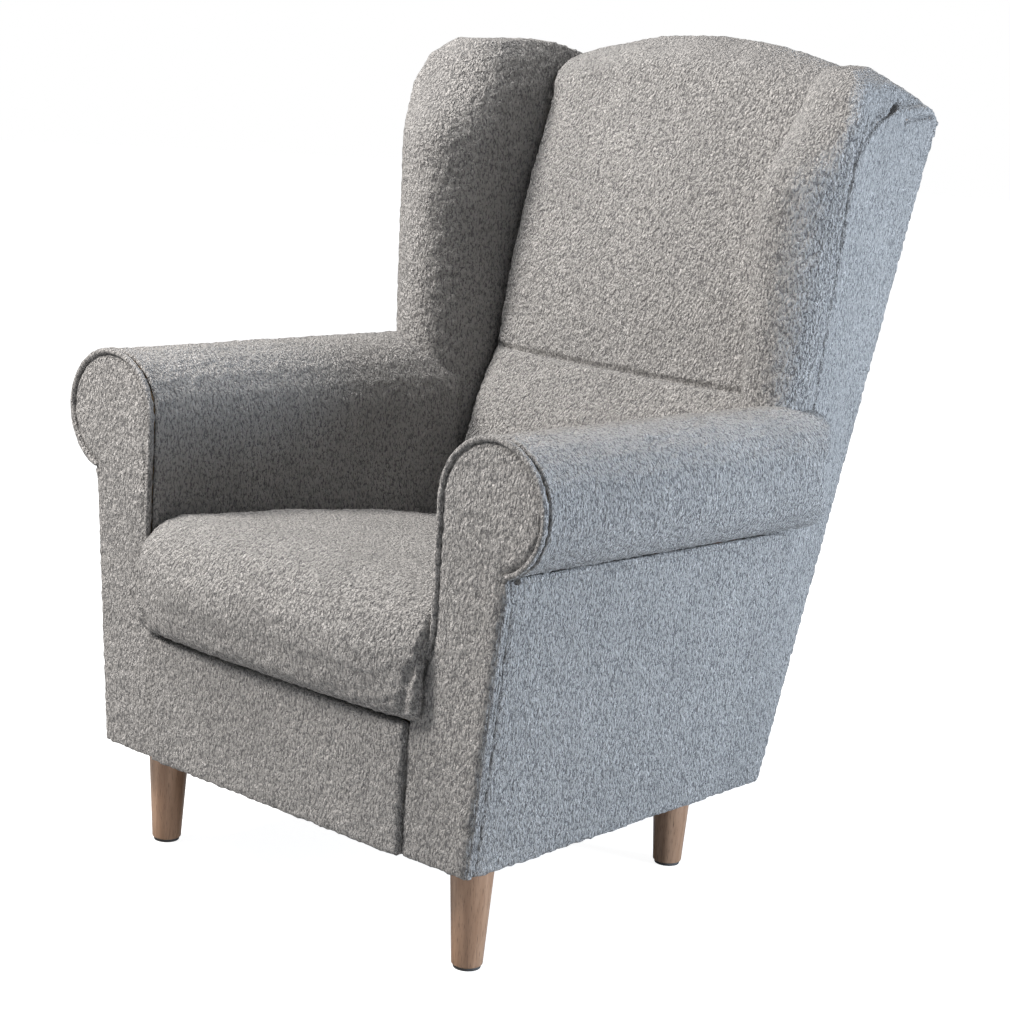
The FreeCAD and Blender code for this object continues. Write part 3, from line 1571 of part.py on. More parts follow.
def make_legs():
    """Tapered legs with a blind hole for the hanger bolt."""
    low = S["glide_thickness"]
    foot = S["leg_foot_diameter"] / 2
    spread = (S["leg_top_diameter"] / 2 - foot) / (frame_bottom - low)
    for name, place in zip(LEG_NAMES, LEG_PLACES):
        body = new_body(name)
        blank = prism(body, name + "_blank", place, foot - spread * low, LEG_SIDES, low,
                      frame_bottom)
        doc.recompute()
        sides = [f"Face{number}" for number, face in enumerate(blank.Shape.Faces, 1)
                 if abs(face.normalAt(0, 0).z) < LEVEL_NORMAL]
        taper = body.newObject("PartDesign::Draft", name + "_taper")
        taper.Base = (blank, sides)
        taper.NeutralPlane = (origin_item(body, "XY_Plane"), [""])
        taper.Reversed = True
        bind(taper, "Angle", arctangent(spread))
        doc.recompute()
        holes(body, name + "_bore", [place], bolt_radius + S["thread_clearance"],
              frame_bottom, S["bolt_depth"])
        keep(body, name)


def make_leg_fastenings():
    """Hanger bolts, threaded inserts and glides, one group of four each."""
    insert_top = leg_seat + S["nut_flange_thickness"]
    bolts = []
    inserts = []
    glides = []
    for name, place in zip(LEG_NAMES, LEG_PLACES):
        bolt = new_body(name + "_bolt")
        prism(bolt, name + "_bolt_pad", place, bolt_radius, BOLT_SIDES,
              frame_bottom - S["bolt_depth"], insert_top)
        bolts.append(bolt)
        insert = new_body(name + "_insert")
        prism(insert, name + "_barrel", place, S["nut_barrel_diameter"] / 2, BOLT_SIDES,
              leg_seat - S["nut_barrel_length"], leg_seat)
        prism(insert, name + "_flange", place, S["nut_flange_diameter"] / 2, BOLT_SIDES,
              leg_seat, insert_top)
        doc.recompute()
        holes(insert, name + "_thread", [place], bolt_radius + S["thread_clearance"],
              insert_top, S["nut_barrel_length"] + S["nut_flange_thickness"])
        inserts.append(insert)
        glide = new_body(name + "_glide")
        prism(glide, name + "_glide_pad", place, S["glide_diameter"] / 2, LEG_SIDES,
              measure(0), S["glide_thickness"])
        glides.append(glide)
    for label, pieces in (("leg_bolts", bolts), ("leg_nuts", inserts), ("leg_glides", glides)):
        keep(compound(label, pieces), label)


make_front_rail()
make_side_rails()
make_back_posts()
make_back_top_rail()
front_board = make_arm_boards()
arm_rail = make_arm_rails()
make_inner_arm_panels()
below_arm_space = side_lower("below_arm_space", measure(-BEYOND), side_skin + BEYOND)
wing_board = make_wing_boards(below_arm_space)
keep(cross_board("rear_rail", leg_seat, rail_top, S["rail_thickness"]), "rear_rail")
back_rail_high = S["back_rail_low"] + S["back_rail_height"]
keep(cross_board("back_middle_rail", S["back_rail_low"], back_rail_high, S["rail_thickness"]),
     "back_middle_rail")
make_leg_blocks()
make_rear_leg_rail()
make_seat_springs()
make_spring_clips()
make_seat()
make_back_webbing()
make_back_foam()
back_cover("lumbar_cover", ("low", "tuck", "seam"))
back_cover("back_cover_upper", ("seam", "roll", "crest", "rear"))
make_outside_back()
roll_space = arm_form("arm_roll_space", arm_start, arm_rear, arm_roll_circle, -gap)
side_sheet("side_cover", measure(0), cover, roll_space)
side_sheet("side_liner", cover + gap, S["liner_thickness"], roll_space)
make_wings(wing_board, arm_rail, below_arm_space)
make_arm_covers(front_board)
keep_pair(arm_form("arm_roll_foam", board_rear, arm_rear, arm_roll_outline, cover + gap),
          "arm_roll_foam")
make_inner_arm_foams()
make_arm_facings()
make_arm_welts()
make_apron()
make_dust_cover()
make_legs()
make_leg_fastenings()
doc.recompute()

failed = [item.Name for item in doc.Objects
          if any(word in item.State for word in ("Invalid", "Error"))]
for item in nodes:
    if item.Shape.isNull() or not item.Shape.isValid():
        failed.append(item.Label)
if failed:
    raise RuntimeError("not built: " + ", ".join(failed))

os.makedirs("parts", exist_ok=True)
for item in nodes:
    item.Shape.exportStep(f"parts/{item.Label}.step")
    print(item.Label, len(item.Shape.Solids), round(item.Shape.Volume / 1000, 1))
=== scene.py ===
import json
import logging
import math
from dataclasses import dataclass, field
from enum import Enum
from typing import Callable

import bmesh
import bpy
from mathutils import Matrix, Vector
from mathutils.kdtree import KDTree


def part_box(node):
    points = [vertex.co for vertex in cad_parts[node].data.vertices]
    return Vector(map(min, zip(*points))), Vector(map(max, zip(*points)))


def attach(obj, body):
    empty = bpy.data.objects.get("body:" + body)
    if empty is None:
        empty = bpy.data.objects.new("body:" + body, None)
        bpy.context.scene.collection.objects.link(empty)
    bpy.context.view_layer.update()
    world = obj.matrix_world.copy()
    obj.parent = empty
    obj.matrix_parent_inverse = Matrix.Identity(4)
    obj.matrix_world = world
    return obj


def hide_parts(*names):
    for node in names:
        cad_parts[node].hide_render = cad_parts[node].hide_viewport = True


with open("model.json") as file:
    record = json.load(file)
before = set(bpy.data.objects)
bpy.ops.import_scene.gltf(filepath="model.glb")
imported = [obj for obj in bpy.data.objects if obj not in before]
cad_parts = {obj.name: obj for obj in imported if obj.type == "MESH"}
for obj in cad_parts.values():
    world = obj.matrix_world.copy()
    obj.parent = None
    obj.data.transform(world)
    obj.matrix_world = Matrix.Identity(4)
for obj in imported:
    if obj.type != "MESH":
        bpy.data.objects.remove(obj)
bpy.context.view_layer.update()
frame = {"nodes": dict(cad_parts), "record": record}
BODY = "root"
LEGS = ["leg_front_left", "leg_front_right", "leg_rear_left", "leg_rear_right"]

Colour = tuple[float, float, float]
Spot = tuple[float, float, float]
Line = tuple[Spot, ...]

# Values that many pieces share, in metres where they are lengths.
SIMULATED_FRAMES = 20
CLOTH_QUALITY = 4
SMOOTHING = 0.5
MERGE_DISTANCE = 0.00002
SAME_HEIGHT = 0.00001
CREASE_REACH = 3.0
LUMP_SIZE = 0.009
LUMP_MIDDLE = 0.6

logging.basicConfig(level=logging.INFO, format="%(message)s")
log = logging.getLogger("armchair")


class Side(Enum):
    """The sitter's left or right hand; the value is the sign of x."""

    LEFT = 1
    RIGHT = -1

    def node(self, stem: str) -> str:
        """Name of this side's node or piece."""
        return f"{stem}_{self.name.lower()}"


class Slot(Enum):
    """Material slots of the record."""

    BOUCLE = "boucle_fabric"
    FOAM = "foam"
    PLYWOOD = "plywood"
    FRAME = "frame_beech"
    LEG = "leg_beech"
    HARDBOARD = "hardboard"
    STEEL = "steel"
    WEBBING = "webbing"
    DUST_CLOTH = "dust_cloth"
    GLIDE = "glide_plastic"


# Node groups that several finishes share.


class NodeGroup:
    """A shader node group that is built once and placed in many materials."""

    def __init__(self, name: str, inputs: dict[str, float], outputs: dict[str, str]) -> None:
        """Open a group with its sockets.

        Args:
            name: the group's name.
            inputs: number inputs with their default values.
            outputs: output names with their socket types.
        """
        self.tree = bpy.data.node_groups.new(name, "ShaderNodeTree")
        for label, value in inputs.items():
            socket = self.tree.interface.new_socket(label, in_out="INPUT",
                                                    socket_type="NodeSocketFloat")
            socket.default_value = value
        for label, kind in outputs.items():
            self.tree.interface.new_socket(label, in_out="OUTPUT", socket_type=kind)
        self.source = self.add("NodeGroupInput")
        self.sink = self.add("NodeGroupOutput")

    def add(self, kind: str, **settings: object) -> bpy.types.Node:
        """Add a node with its settings.

        Args:
            kind: the node's type name.
            settings: properties to set on the node.

        Returns:
            The new node.
        """
        node = self.tree.nodes.new(kind)
        for key, value in settings.items():
            setattr(node, key, value)
        return node

    def link(self, out: bpy.types.NodeSocket, into: bpy.types.NodeSocket) -> None:
        """Join two sockets."""
        self.tree.links.new(out, into)

    def math(self, operation: str, first: object, second: object = 0.0) -> bpy.types.NodeSocket:
        """Add a Math node.

        Args:
            operation: the Math node's operation.
            first: a socket or a number.
            second: a socket or a number.

        Returns:
            The result's socket.
        """
        node = self.add("ShaderNodeMath", operation=operation)
        for index, value in enumerate((first, second)):
            if isinstance(value, bpy.types.NodeSocket):
                self.link(value, node.inputs[index])
            else:
                node.inputs[index].default_value = value
        return node.outputs[0]

    def spread(self, value: bpy.types.NodeSocket, low: float,
               high: float) -> bpy.types.NodeSocket:
        """Stretch a value smoothly over the range from 0 to 1.

        Args:
            value: the value's socket.
            low: value that becomes 0.
            high: value that becomes 1.

        Returns:
            The new value's socket.
        """
        node = self.add("ShaderNodeMapRange", interpolation_type="SMOOTHSTEP")
        self.link(value, node.inputs["Value"])
        node.inputs["From Min"].default_value = low
        node.inputs["From Max"].default_value = high
        return node.outputs["Result"]

    def noise(self, where: bpy.types.NodeSocket, detail: float, scale: float | None = None,
              distortion: float = 0.0) -> bpy.types.Node:
        """Add a noise texture.

        Args:
            where: the places' socket.
            detail: how many finer layers it has.
            scale: its scale, where no input sets it.
            distortion: how far it is swirled.

        Returns:
            The noise node.
        """
        node = self.add("ShaderNodeTexNoise")
        node.inputs["Detail"].default_value = detail
        node.inputs["Distortion"].default_value = distortion
        if scale is not None:
            node.inputs["Scale"].default_value = scale
        self.link(where, node.inputs["Vector"])
        return node

    def drawn_out(self, stretch: str) -> bpy.types.NodeSocket:
        """Object coordinates with a pattern drawn out along Z.

        Args:
            stretch: the group's input that Z is multiplied by.

        Returns:
            The places' socket.
        """
        parts = self.add("ShaderNodeSeparateXYZ")
        self.link(self.add("ShaderNodeTexCoord").outputs["Object"], parts.inputs[0])
        drawn = self.add("ShaderNodeCombineXYZ")
        self.link(parts.outputs["X"], drawn.inputs["X"])
        self.link(parts.outputs["Y"], drawn.inputs["Y"])
        self.link(self.math("MULTIPLY", parts.outputs["Z"], self.source.outputs[stretch]),
                  drawn.inputs["Z"])
        return drawn.outputs[0]


class CurlGroup(NodeGroup):
    """Curly pile: swirled loops, loose fibres and slow drifts of the pile's direction."""

    bend_scale = 130.0
    loop_softness = 0.35
    swirl_per_curl = 1.25
    swirl_distortion = 1.6
    fibre_scale = 900.0
    crown_range = (0.75, 0.1)
    swirl_range = (0.36, 0.62)
    fibre_range = (0.3, 0.7)
    drift_range = (0.3, 0.7)
    drift_distortion = 0.4
    drift_roughness = 0.55
    tip_range = (0.12, 0.5)
    crown_share = 0.55
    swirl_share = 0.45
    fibre_share = 0.12

    def __init__(self) -> None:
        """Build the group on object coordinates."""
        super().__init__("curly_pile",
                         {"Curls": 300.0, "Swirl": 0.003, "Streak": 14.0, "Lie": 0.55},
                         {"Tip": "NodeSocketFloat", "Height": "NodeSocketFloat",
                          "Drift": "NodeSocketFloat"})
        where = self.drawn_out("Lie")
        loops = self.add("ShaderNodeTexVoronoi", feature="SMOOTH_F1")
        loops.inputs["Smoothness"].default_value = self.loop_softness
        self.link(self.swirled(where), loops.inputs["Vector"])
        self.link(self.source.outputs["Curls"], loops.inputs["Scale"])
        swirls = self.noise(where, detail=2.0, distortion=self.swirl_distortion)
        self.link(self.math("MULTIPLY", self.source.outputs["Curls"], self.swirl_per_curl),
                  swirls.inputs["Scale"])
        fibres = self.noise(where, detail=2.0, scale=self.fibre_scale)
        crown = self.spread(loops.outputs["Distance"], *self.crown_range)
        swirl = self.spread(swirls.outputs["Fac"], *self.swirl_range)
        fibre = self.spread(fibres.outputs["Fac"], *self.fibre_range)
        height = self.math("ADD", self.math("MULTIPLY", crown, self.crown_share),
                           self.math("MULTIPLY", swirl, self.swirl_share))
        self.link(self.math("ADD", height, self.math("MULTIPLY", fibre, self.fibre_share)),
                  self.sink.inputs["Height"])
        # Tip: 0 in the crevices, 1 on the crowns; the boucle paints its shade by it.
        self.link(self.spread(height, *self.tip_range), self.sink.inputs["Tip"])
        drift = self.noise(where, detail=3.0, distortion=self.drift_distortion)
        drift.inputs["Roughness"].default_value = self.drift_roughness
        self.link(self.source.outputs["Streak"], drift.inputs["Scale"])
        self.link(self.spread(drift.outputs["Fac"], *self.drift_range),
                  self.sink.inputs["Drift"])

    def swirled(self, where: bpy.types.NodeSocket) -> bpy.types.NodeSocket:
        """Push places about by a slow noise, so that the loops swirl.

        Args:
            where: the places' socket.

        Returns:
            The moved places' socket.
        """
        bend = self.noise(where, detail=1.0, scale=self.bend_scale)
        centred = self.add("ShaderNodeVectorMath", operation="SUBTRACT")
        centred.inputs[1].default_value = (0.5, 0.5, 0.5)
        self.link(bend.outputs["Color"], centred.inputs[0])
        push = self.add("ShaderNodeVectorMath", operation="SCALE")
        self.link(centred.outputs[0], push.inputs[0])
        self.link(self.source.outputs["Swirl"], push.inputs["Scale"])
        moved = self.add("ShaderNodeVectorMath", operation="ADD")
        self.link(where, moved.inputs[0])
        self.link(push.outputs[0], moved.inputs[1])
        return moved.outputs[0]


class GrainGroup(NodeGroup):
    """Wood grain along Z: long fibres, growth bands and short pores."""

    pore_scale = 900.0
    band_distortion = 0.8
    band_range = (0.3, 0.7)
    pore_range = (0.55, 0.72)

    def __init__(self) -> None:
        """Build the group on object coordinates."""
        super().__init__("wood_grain", {"Bands": 60.0, "Stretch": 0.06},
                         {"Grain": "NodeSocketFloat", "Pores": "NodeSocketFloat"})
        where = self.drawn_out("Stretch")
        bands = self.noise(where, detail=4.0, distortion=self.band_distortion)
        self.link(self.source.outputs["Bands"], bands.inputs["Scale"])
        pores = self.noise(where, detail=2.0, scale=self.pore_scale)
        self.link(self.spread(bands.outputs["Fac"], *self.band_range),
                  self.sink.inputs["Grain"])
        self.link(self.spread(pores.outputs["Fac"], *self.pore_range),
                  self.sink.inputs["Pores"])


class WeaveGroup(NodeGroup):
    """Plain weave of straps and cloth, as two crossed rows of threads."""

    def __init__(self) -> None:
        """Build the group on object coordinates."""
        super().__init__("plain_weave", {"Threads": 900.0}, {"Weave": "NodeSocketFloat"})
        where = self.add("ShaderNodeTexCoord").outputs["Object"]
        parts = self.add("ShaderNodeSeparateXYZ")
        self.link(where, parts.inputs[0])
        waves = []
        for axis in ("X", "Y", "Z"):
            turn = self.math("MULTIPLY", parts.outputs[axis], self.source.outputs["Threads"])
            waves.append(self.math("SINE", turn))
        crossed = self.math("MULTIPLY", waves[0], self.math("ADD", waves[1], waves[2]))
        self.link(self.spread(crossed, -1.0, 1.0), self.sink.inputs["Weave"])


# Finishes.


def mixed(tree: bpy.types.NodeTree, share: bpy.types.NodeSocket,
          first: object, second: object) -> bpy.types.NodeSocket:
    """Blend two colours by a share that changes over the surface.

    Args:
        tree: the material's node tree.
        share: 0 for the first colour, 1 for the second.
        first: a colour or a socket.
        second: a colour or a socket.

    Returns:
        The blended colour's socket.
    """
    node = tree.nodes.new("ShaderNodeMix")
    node.data_type = "RGBA"
    tree.links.new(share, node.inputs["Factor"])
    for label, colour in (("A", first), ("B", second)):
        socket = next(item for item in node.inputs
                      if item.name == label and item.type == "RGBA")
        if isinstance(colour, bpy.types.NodeSocket):
            tree.links.new(colour, socket)
        else:
            socket.default_value = (*colour, 1.0)
    return next(item for item in node.outputs if item.type == "RGBA")


@dataclass(frozen=True)
class Finish:
    """What every finish has: its slot and its roughness."""

    slot: Slot
    roughness: float

    def material(self) -> bpy.types.Material:
        """Make the material, with its Principled shader dressed by the finish.

        Returns:
            The material.
        """
        made = bpy.data.materials.new(self.slot.value)
        made.use_nodes = True
        shader = made.node_tree.nodes["Principled BSDF"]
        shader.inputs["Roughness"].default_value = self.roughness
        self.dress(made.node_tree, shader)
        return made

    def dress(self, tree: bpy.types.NodeTree, shader: bpy.types.Node) -> None:
        """Add the finish's own nodes."""
        raise NotImplementedError

    def group(self, tree: bpy.types.NodeTree, kit: NodeGroup, **values: float) -> bpy.types.Node:
        """Place a shared group in the material.

        Args:
            tree: the material's node tree.
            kit: the shared group.
            values: the group's inputs by name.

        Returns:
            The group node.
        """
        node = tree.nodes.new("ShaderNodeGroup")
        node.node_tree = kit.tree
        for label, value in values.items():
            node.inputs[label].default_value = value
        return node

    def bump(self, tree: bpy.types.NodeTree, shader: bpy.types.Node,
             height: bpy.types.NodeSocket, distance: float, strength: float) -> None:
        """Raise the surface by a height in the shading.

        Args:
            tree: the material's node tree.
            shader: the Principled shader.
            height: the height's socket, from 0 to 1.
            distance: height of 1 in metres.
            strength: share of the effect.
        """
        node = tree.nodes.new("ShaderNodeBump")
        node.inputs["Distance"].default_value = distance
        node.inputs["Strength"].default_value = strength
        tree.links.new(height, node.inputs["Height"])
        tree.links.new(node.outputs["Normal"], shader.inputs["Normal"])


@dataclass(frozen=True)
class BoucleFinish(Finish):
    """Curly pile fabric in a warm grey, darker between its loops with painted shade."""

    pile: NodeGroup
    tip: Colour = (0.57, 0.55, 0.535)
    # Root colour: painted shade that fills the crevices between the loops.
    root: Colour = (0.18, 0.174, 0.174)
    brushed: Colour = (0.50, 0.483, 0.47)
    curls: float = 290.0
    height: float = 0.008
    sheen: float = 0.25
    sheen_roughness: float = 0.6
    specular: float = 0.15

    def dress(self, tree: bpy.types.NodeTree, shader: bpy.types.Node) -> None:
        """Colour the loops, with painted shade between them, and raise them.

        Args:
            tree: the material's node tree.
            shader: the Principled shader.
        """
        pile = self.group(tree, self.pile, Curls=self.curls)
        crowns = mixed(tree, pile.outputs["Drift"], self.brushed, self.tip)
        # Painted shade: where Tip falls to 0 between the loops, the colour goes to the root
        # colour.
        colour = mixed(tree, pile.outputs["Tip"], self.root, crowns)
        tree.links.new(colour, shader.inputs["Base Color"])
        shader.inputs["Sheen Weight"].default_value = self.sheen
        shader.inputs["Sheen Roughness"].default_value = self.sheen_roughness
        shader.inputs["Specular IOR Level"].default_value = self.specular
        self.bump(tree, shader, pile.outputs["Height"], self.height, 1.0)


@dataclass(frozen=True)
class WoodFinish(Finish):
    """Wood with its grain along Z."""

    grain: NodeGroup
    light: Colour
    dark: Colour
    bands: float = 60.0
    coat: float = 0.0
    coat_roughness: float = 0.3
    pore_shade: float = 0.6
    depth: float = 0.0003
    relief: float = 0.4

    def dress(self, tree: bpy.types.NodeTree, shader: bpy.types.Node) -> None:
        """Colour the grain with its pores and raise it.

        Args:
            tree: the material's node tree.
            shader: the Principled shader.
        """
        grain = self.group(tree, self.grain, Bands=self.bands)
        body = mixed(tree, grain.outputs["Grain"], self.light, self.dark)
        pore = tuple(self.pore_shade * part for part in self.dark)
        pored = mixed(tree, grain.outputs["Pores"], body, pore)
        tree.links.new(pored, shader.inputs["Base Color"])
        shader.inputs["Coat Weight"].default_value = self.coat
        shader.inputs["Coat Roughness"].default_value = self.coat_roughness
        self.bump(tree, shader, grain.outputs["Grain"], self.depth, self.relief)


@dataclass(frozen=True)
class ClothFinish(Finish):
    """Plain woven cloth or strap."""

    weave: NodeGroup
    light: Colour
    dark: Colour
    threads: float = 2400.0
    depth: float = 0.0004
    relief: float = 0.6

    def dress(self, tree: bpy.types.NodeTree, shader: bpy.types.Node) -> None:
        """Colour and raise the threads.

        Args:
            tree: the material's node tree.
            shader: the Principled shader.
        """
        weave = self.group(tree, self.weave, Threads=self.threads)
        colour = mixed(tree, weave.outputs["Weave"], self.dark, self.light)
        tree.links.new(colour, shader.inputs["Base Color"])
        self.bump(tree, shader, weave.outputs["Weave"], self.depth, self.relief)


@dataclass(frozen=True)
class CellFinish(Finish):
    """Foam, moulded plastic or bright steel: a colour with fine cells in it."""

    pile: NodeGroup
    light: Colour
    dark: Colour
    metallic: float = 0.0
    cells: float = 900.0
    depth: float = 0.0004
    relief: float = 0.5

    def dress(self, tree: bpy.types.NodeTree, shader: bpy.types.Node) -> None:
        """Colour the cells and raise them.

        Args:
            tree: the material's node tree.
            shader: the Principled shader.
        """
        cells = self.group(tree, self.pile, Curls=self.cells, Swirl=0.0)
        colour = mixed(tree, cells.outputs["Tip"], self.dark, self.light)
        tree.links.new(colour, shader.inputs["Base Color"])
        shader.inputs["Metallic"].default_value = self.metallic
        self.bump(tree, shader, cells.outputs["Height"], self.depth, self.relief)


class Finishes:
    """All materials of the chair, by slot."""

    def __init__(self) -> None:
        """Build the shared groups and every material."""
        curls = CurlGroup()
        grain = GrainGroup()
        weave = WeaveGroup()
        kinds = (
            BoucleFinish(Slot.BOUCLE, 0.95, curls),
            CellFinish(Slot.FOAM, 0.9, curls, (0.85, 0.80, 0.62), (0.66, 0.60, 0.42)),
            WoodFinish(Slot.PLYWOOD, 0.7, grain, (0.66, 0.50, 0.33), (0.52, 0.37, 0.22)),
            WoodFinish(Slot.FRAME, 0.65, grain, (0.70, 0.52, 0.34), (0.55, 0.38, 0.23)),
            WoodFinish(Slot.LEG, 0.42, grain, (0.43, 0.265, 0.17), (0.30, 0.17, 0.10),
                       bands=90.0, coat=0.25),
            WoodFinish(Slot.HARDBOARD, 0.8, grain, (0.30, 0.19, 0.12), (0.22, 0.13, 0.08)),
            CellFinish(Slot.STEEL, 0.35, curls, (0.62, 0.62, 0.63), (0.48, 0.48, 0.49),
                       metallic=1.0, cells=300.0, depth=0.0001),
            ClothFinish(Slot.WEBBING, 0.85, weave, (0.16, 0.16, 0.17), (0.05, 0.05, 0.055)),
            ClothFinish(Slot.DUST_CLOTH, 0.9, weave, (0.05, 0.05, 0.05), (0.02, 0.02, 0.02)),
            CellFinish(Slot.GLIDE, 0.6, curls, (0.05, 0.05, 0.05), (0.03, 0.03, 0.03)),
        )
        self.by_slot = {kind.slot.value: kind.material() for kind in kinds}

    def put_on(self, piece: bpy.types.Object, slot: Slot) -> None:
        """Dress a piece in one slot's material."""
        piece.data.materials.clear()
        piece.data.materials.append(self.by_slot[slot.value])


# Ways of working that the pieces share.


def only(*objects: bpy.types.Object) -> None:
    """Select these objects alone, the first one active.

    Args:
        objects: the objects, or none to deselect all.
    """
    bpy.ops.object.select_all(action="DESELECT")
    for item in objects:
        item.select_set(True)
    if objects:
        bpy.context.view_layer.objects.active = objects[0]


def select_edges(piece: bpy.types.Object, wanted: Callable[[Vector, Vector], bool]) -> None:
    """Open a piece in edit mode with some of its edges selected.

    Args:
        piece: the object.
        wanted: says of an edge's two ends whether the edge is selected.
    """
    only(piece)
    bpy.ops.object.mode_set(mode="EDIT")
    bpy.ops.mesh.select_mode(type="EDGE")
    bpy.ops.mesh.select_all(action="DESELECT")
    mesh = bmesh.from_edit_mesh(piece.data)
    for edge in mesh.edges:
        edge.select = wanted(edge.verts[0].co, edge.verts[1].co)
    bmesh.update_edit_mesh(piece.data)


def finish_modifier(piece: bpy.types.Object, kind: str, **settings: object) -> None:
    """Add a modifier and apply it.

    Args:
        piece: the object.
        kind: the modifier's type.
        settings: the modifier's properties.
    """
    only(piece)
    made = piece.modifiers.new(kind.lower(), kind)
    for key, value in settings.items():
        setattr(made, key, value)
    bpy.ops.object.modifier_apply(modifier=made.name)


def joined_copy(name: str, nodes: list[str]) -> bpy.types.Object:
    """Join merged copies of CAD nodes into one new mesh.

    Args:
        name: the new piece's name.
        nodes: the CAD nodes to copy.

    Returns:
        The new object.
    """
    copies = []
    for node in nodes:
        item = bpy.data.objects.new(name, frame["nodes"][node].data.copy())
        bpy.context.scene.collection.objects.link(item)
        copies.append(item)
    only(*copies)
    if len(copies) > 1:
        bpy.ops.object.join()
    piece = bpy.context.view_layer.objects.active
    bpy.ops.object.mode_set(mode="EDIT")
    bpy.ops.mesh.select_all(action="SELECT")
    bpy.ops.mesh.remove_doubles(threshold=MERGE_DISTANCE)
    bpy.ops.mesh.normals_make_consistent(inside=False)
    bpy.ops.object.mode_set(mode="OBJECT")
    return piece


def crease(piece: bpy.types.Object, distance: Callable[[Vector, Vector], float],
           depth: float, width: float) -> None:
    """Draw a mesh in along a line, as a seam draws in its fabric.

    Args:
        piece: the object.
        distance: distance of a point with its normal from the seam, infinite off it.
        depth: how deep the seam lies.
        width: half the width of the hollow at about a third of its depth.
    """
    normals = [vertex.normal.copy() for vertex in piece.data.vertices]
    for vertex, normal in zip(piece.data.vertices, normals):
        off = distance(vertex.co, normal)
        if off < CREASE_REACH * width:
            vertex.co -= normal * depth * math.exp(-((off / width) ** 2))


def raise_lumps(piece: bpy.types.Object, height: float, layers: int) -> None:
    """Raise the lumps of the pile that show in the outline.

    Args:
        piece: the object.
        height: height of the lumps.
        layers: how many finer layers the lumps have.
    """
    texture = bpy.data.textures.new(piece.name + "_lumps", "CLOUDS")
    texture.noise_scale = LUMP_SIZE
    texture.noise_depth = layers
    finish_modifier(piece, "DISPLACE", texture=texture, strength=height,
                    mid_level=LUMP_MIDDLE)


def ramp(value: float, low: float, high: float) -> float:
    """Rise smoothly from 0 at a low value to 1 at a high one."""
    share = min(max((value - low) / (high - low), 0.0), 1.0)
    return share * share * (3 - 2 * share)


def cloud(places: list[Vector]) -> KDTree:
    """Sort points so that the nearest one is found quickly.

    Args:
        places: the points.

    Returns:
        The search tree.
    """
    tree = KDTree(len(places))
    for number, place in enumerate(places):
        tree.insert(place, number)
    tree.balance()
    return tree


def along(line: Line, side: Side, step: float = 0.002) -> list[Vector]:
    """Points along a line on one side of the chair.

    Args:
        line: corners of the line, on the sitter's left.
        side: the side that the line is wanted on.
        step: greatest spacing of the points.

    Returns:
        The points, mirrored for the right side.
    """
    mirror = Vector((side.value, 1.0, 1.0))
    corners = [Vector(corner) * mirror for corner in line]
    points = []
    for first, second in zip(corners, corners[1:]):
        count = math.ceil((second - first).length / step)
        points += [first.lerp(second, k / count) for k in range(count + 1)]
    return points


@dataclass
class Padding:
    """An upholstered piece: the space of its CAD nodes, rounded as fabric lies on it."""

    finishes: Finishes
    name: str = ""
    nodes: list[str] = field(default_factory=list)
    backing: list[str] = field(default_factory=list)
    voxel: float = 0.006
    rounds: int = 4
    levels: int = 1
    lump: float = 0.0035
    fill: float | None = 0.8
    pressure: float = 0.0
    travel: float = 0.006

    def build(self) -> bpy.types.Object:
        """Model, shape and dress the piece.

        Returns:
            The finished object, riding on the chair.
        """
        piece = joined_copy(self.name, self.nodes + self.backing)
        piece.name = self.name
        finish_modifier(piece, "REMESH", mode="VOXEL", voxel_size=self.voxel)
        finish_modifier(piece, "SMOOTH", factor=SMOOTHING, iterations=self.rounds)
        if self.pressure:
            self.inflate(piece)
        if self.levels:
            finish_modifier(piece, "SUBSURF", levels=self.levels, render_levels=self.levels)
        self.shape(piece)
        raise_lumps(piece, self.lump, layers=1)
        only(piece)
        bpy.ops.object.shade_smooth()
        settle(piece, self.finishes, Slot.BOUCLE, self.nodes)
        return piece

    def shape(self, piece: bpy.types.Object) -> None:
        """Add the seams and folds that only this piece has."""

    def inflate(self, piece: bpy.types.Object) -> None:
        """Swell the piece as cloth under pressure, no point further than its travel.

        Args:
            piece: the object.
        """
        start = [vertex.co.copy() for vertex in piece.data.vertices]
        cloth = piece.modifiers.new("cloth", "CLOTH")
        cloth.settings.use_pressure = True
        cloth.settings.uniform_pressure_force = self.pressure
        cloth.settings.effector_weights.gravity = 0.0
        cloth.settings.quality = CLOTH_QUALITY
        cloth.point_cache.frame_end = SIMULATED_FRAMES
        scene = bpy.context.scene
        for number in range(1, SIMULATED_FRAMES + 1):
            scene.frame_set(number)
        only(piece)
        bpy.ops.object.modifier_apply(modifier=cloth.name)
        scene.frame_set(1)
        for vertex, before in zip(piece.data.vertices, start):
            move = vertex.co - before
            if move.length > self.travel:
                vertex.co = before + move.normalized() * self.travel
        finish_modifier(piece, "SMOOTH", factor=SMOOTHING, iterations=self.rounds)


def settle(piece: bpy.types.Object, finishes: Finishes, slot: Slot, nodes: list[str]) -> None:
    """Dress a finished piece, let it ride and hide what it stands for.

    Args:
        piece: the object.
        finishes: all materials.
        slot: the slot of its finish.
        nodes: CAD nodes that it replaces.
    """
    finishes.put_on(piece, slot)
    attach(piece, BODY)
    if nodes:
        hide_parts(*nodes)
    log.info("%s: %d vertices for %s", piece.name, len(piece.data.vertices),
             ", ".join(nodes) or "no CAD node")


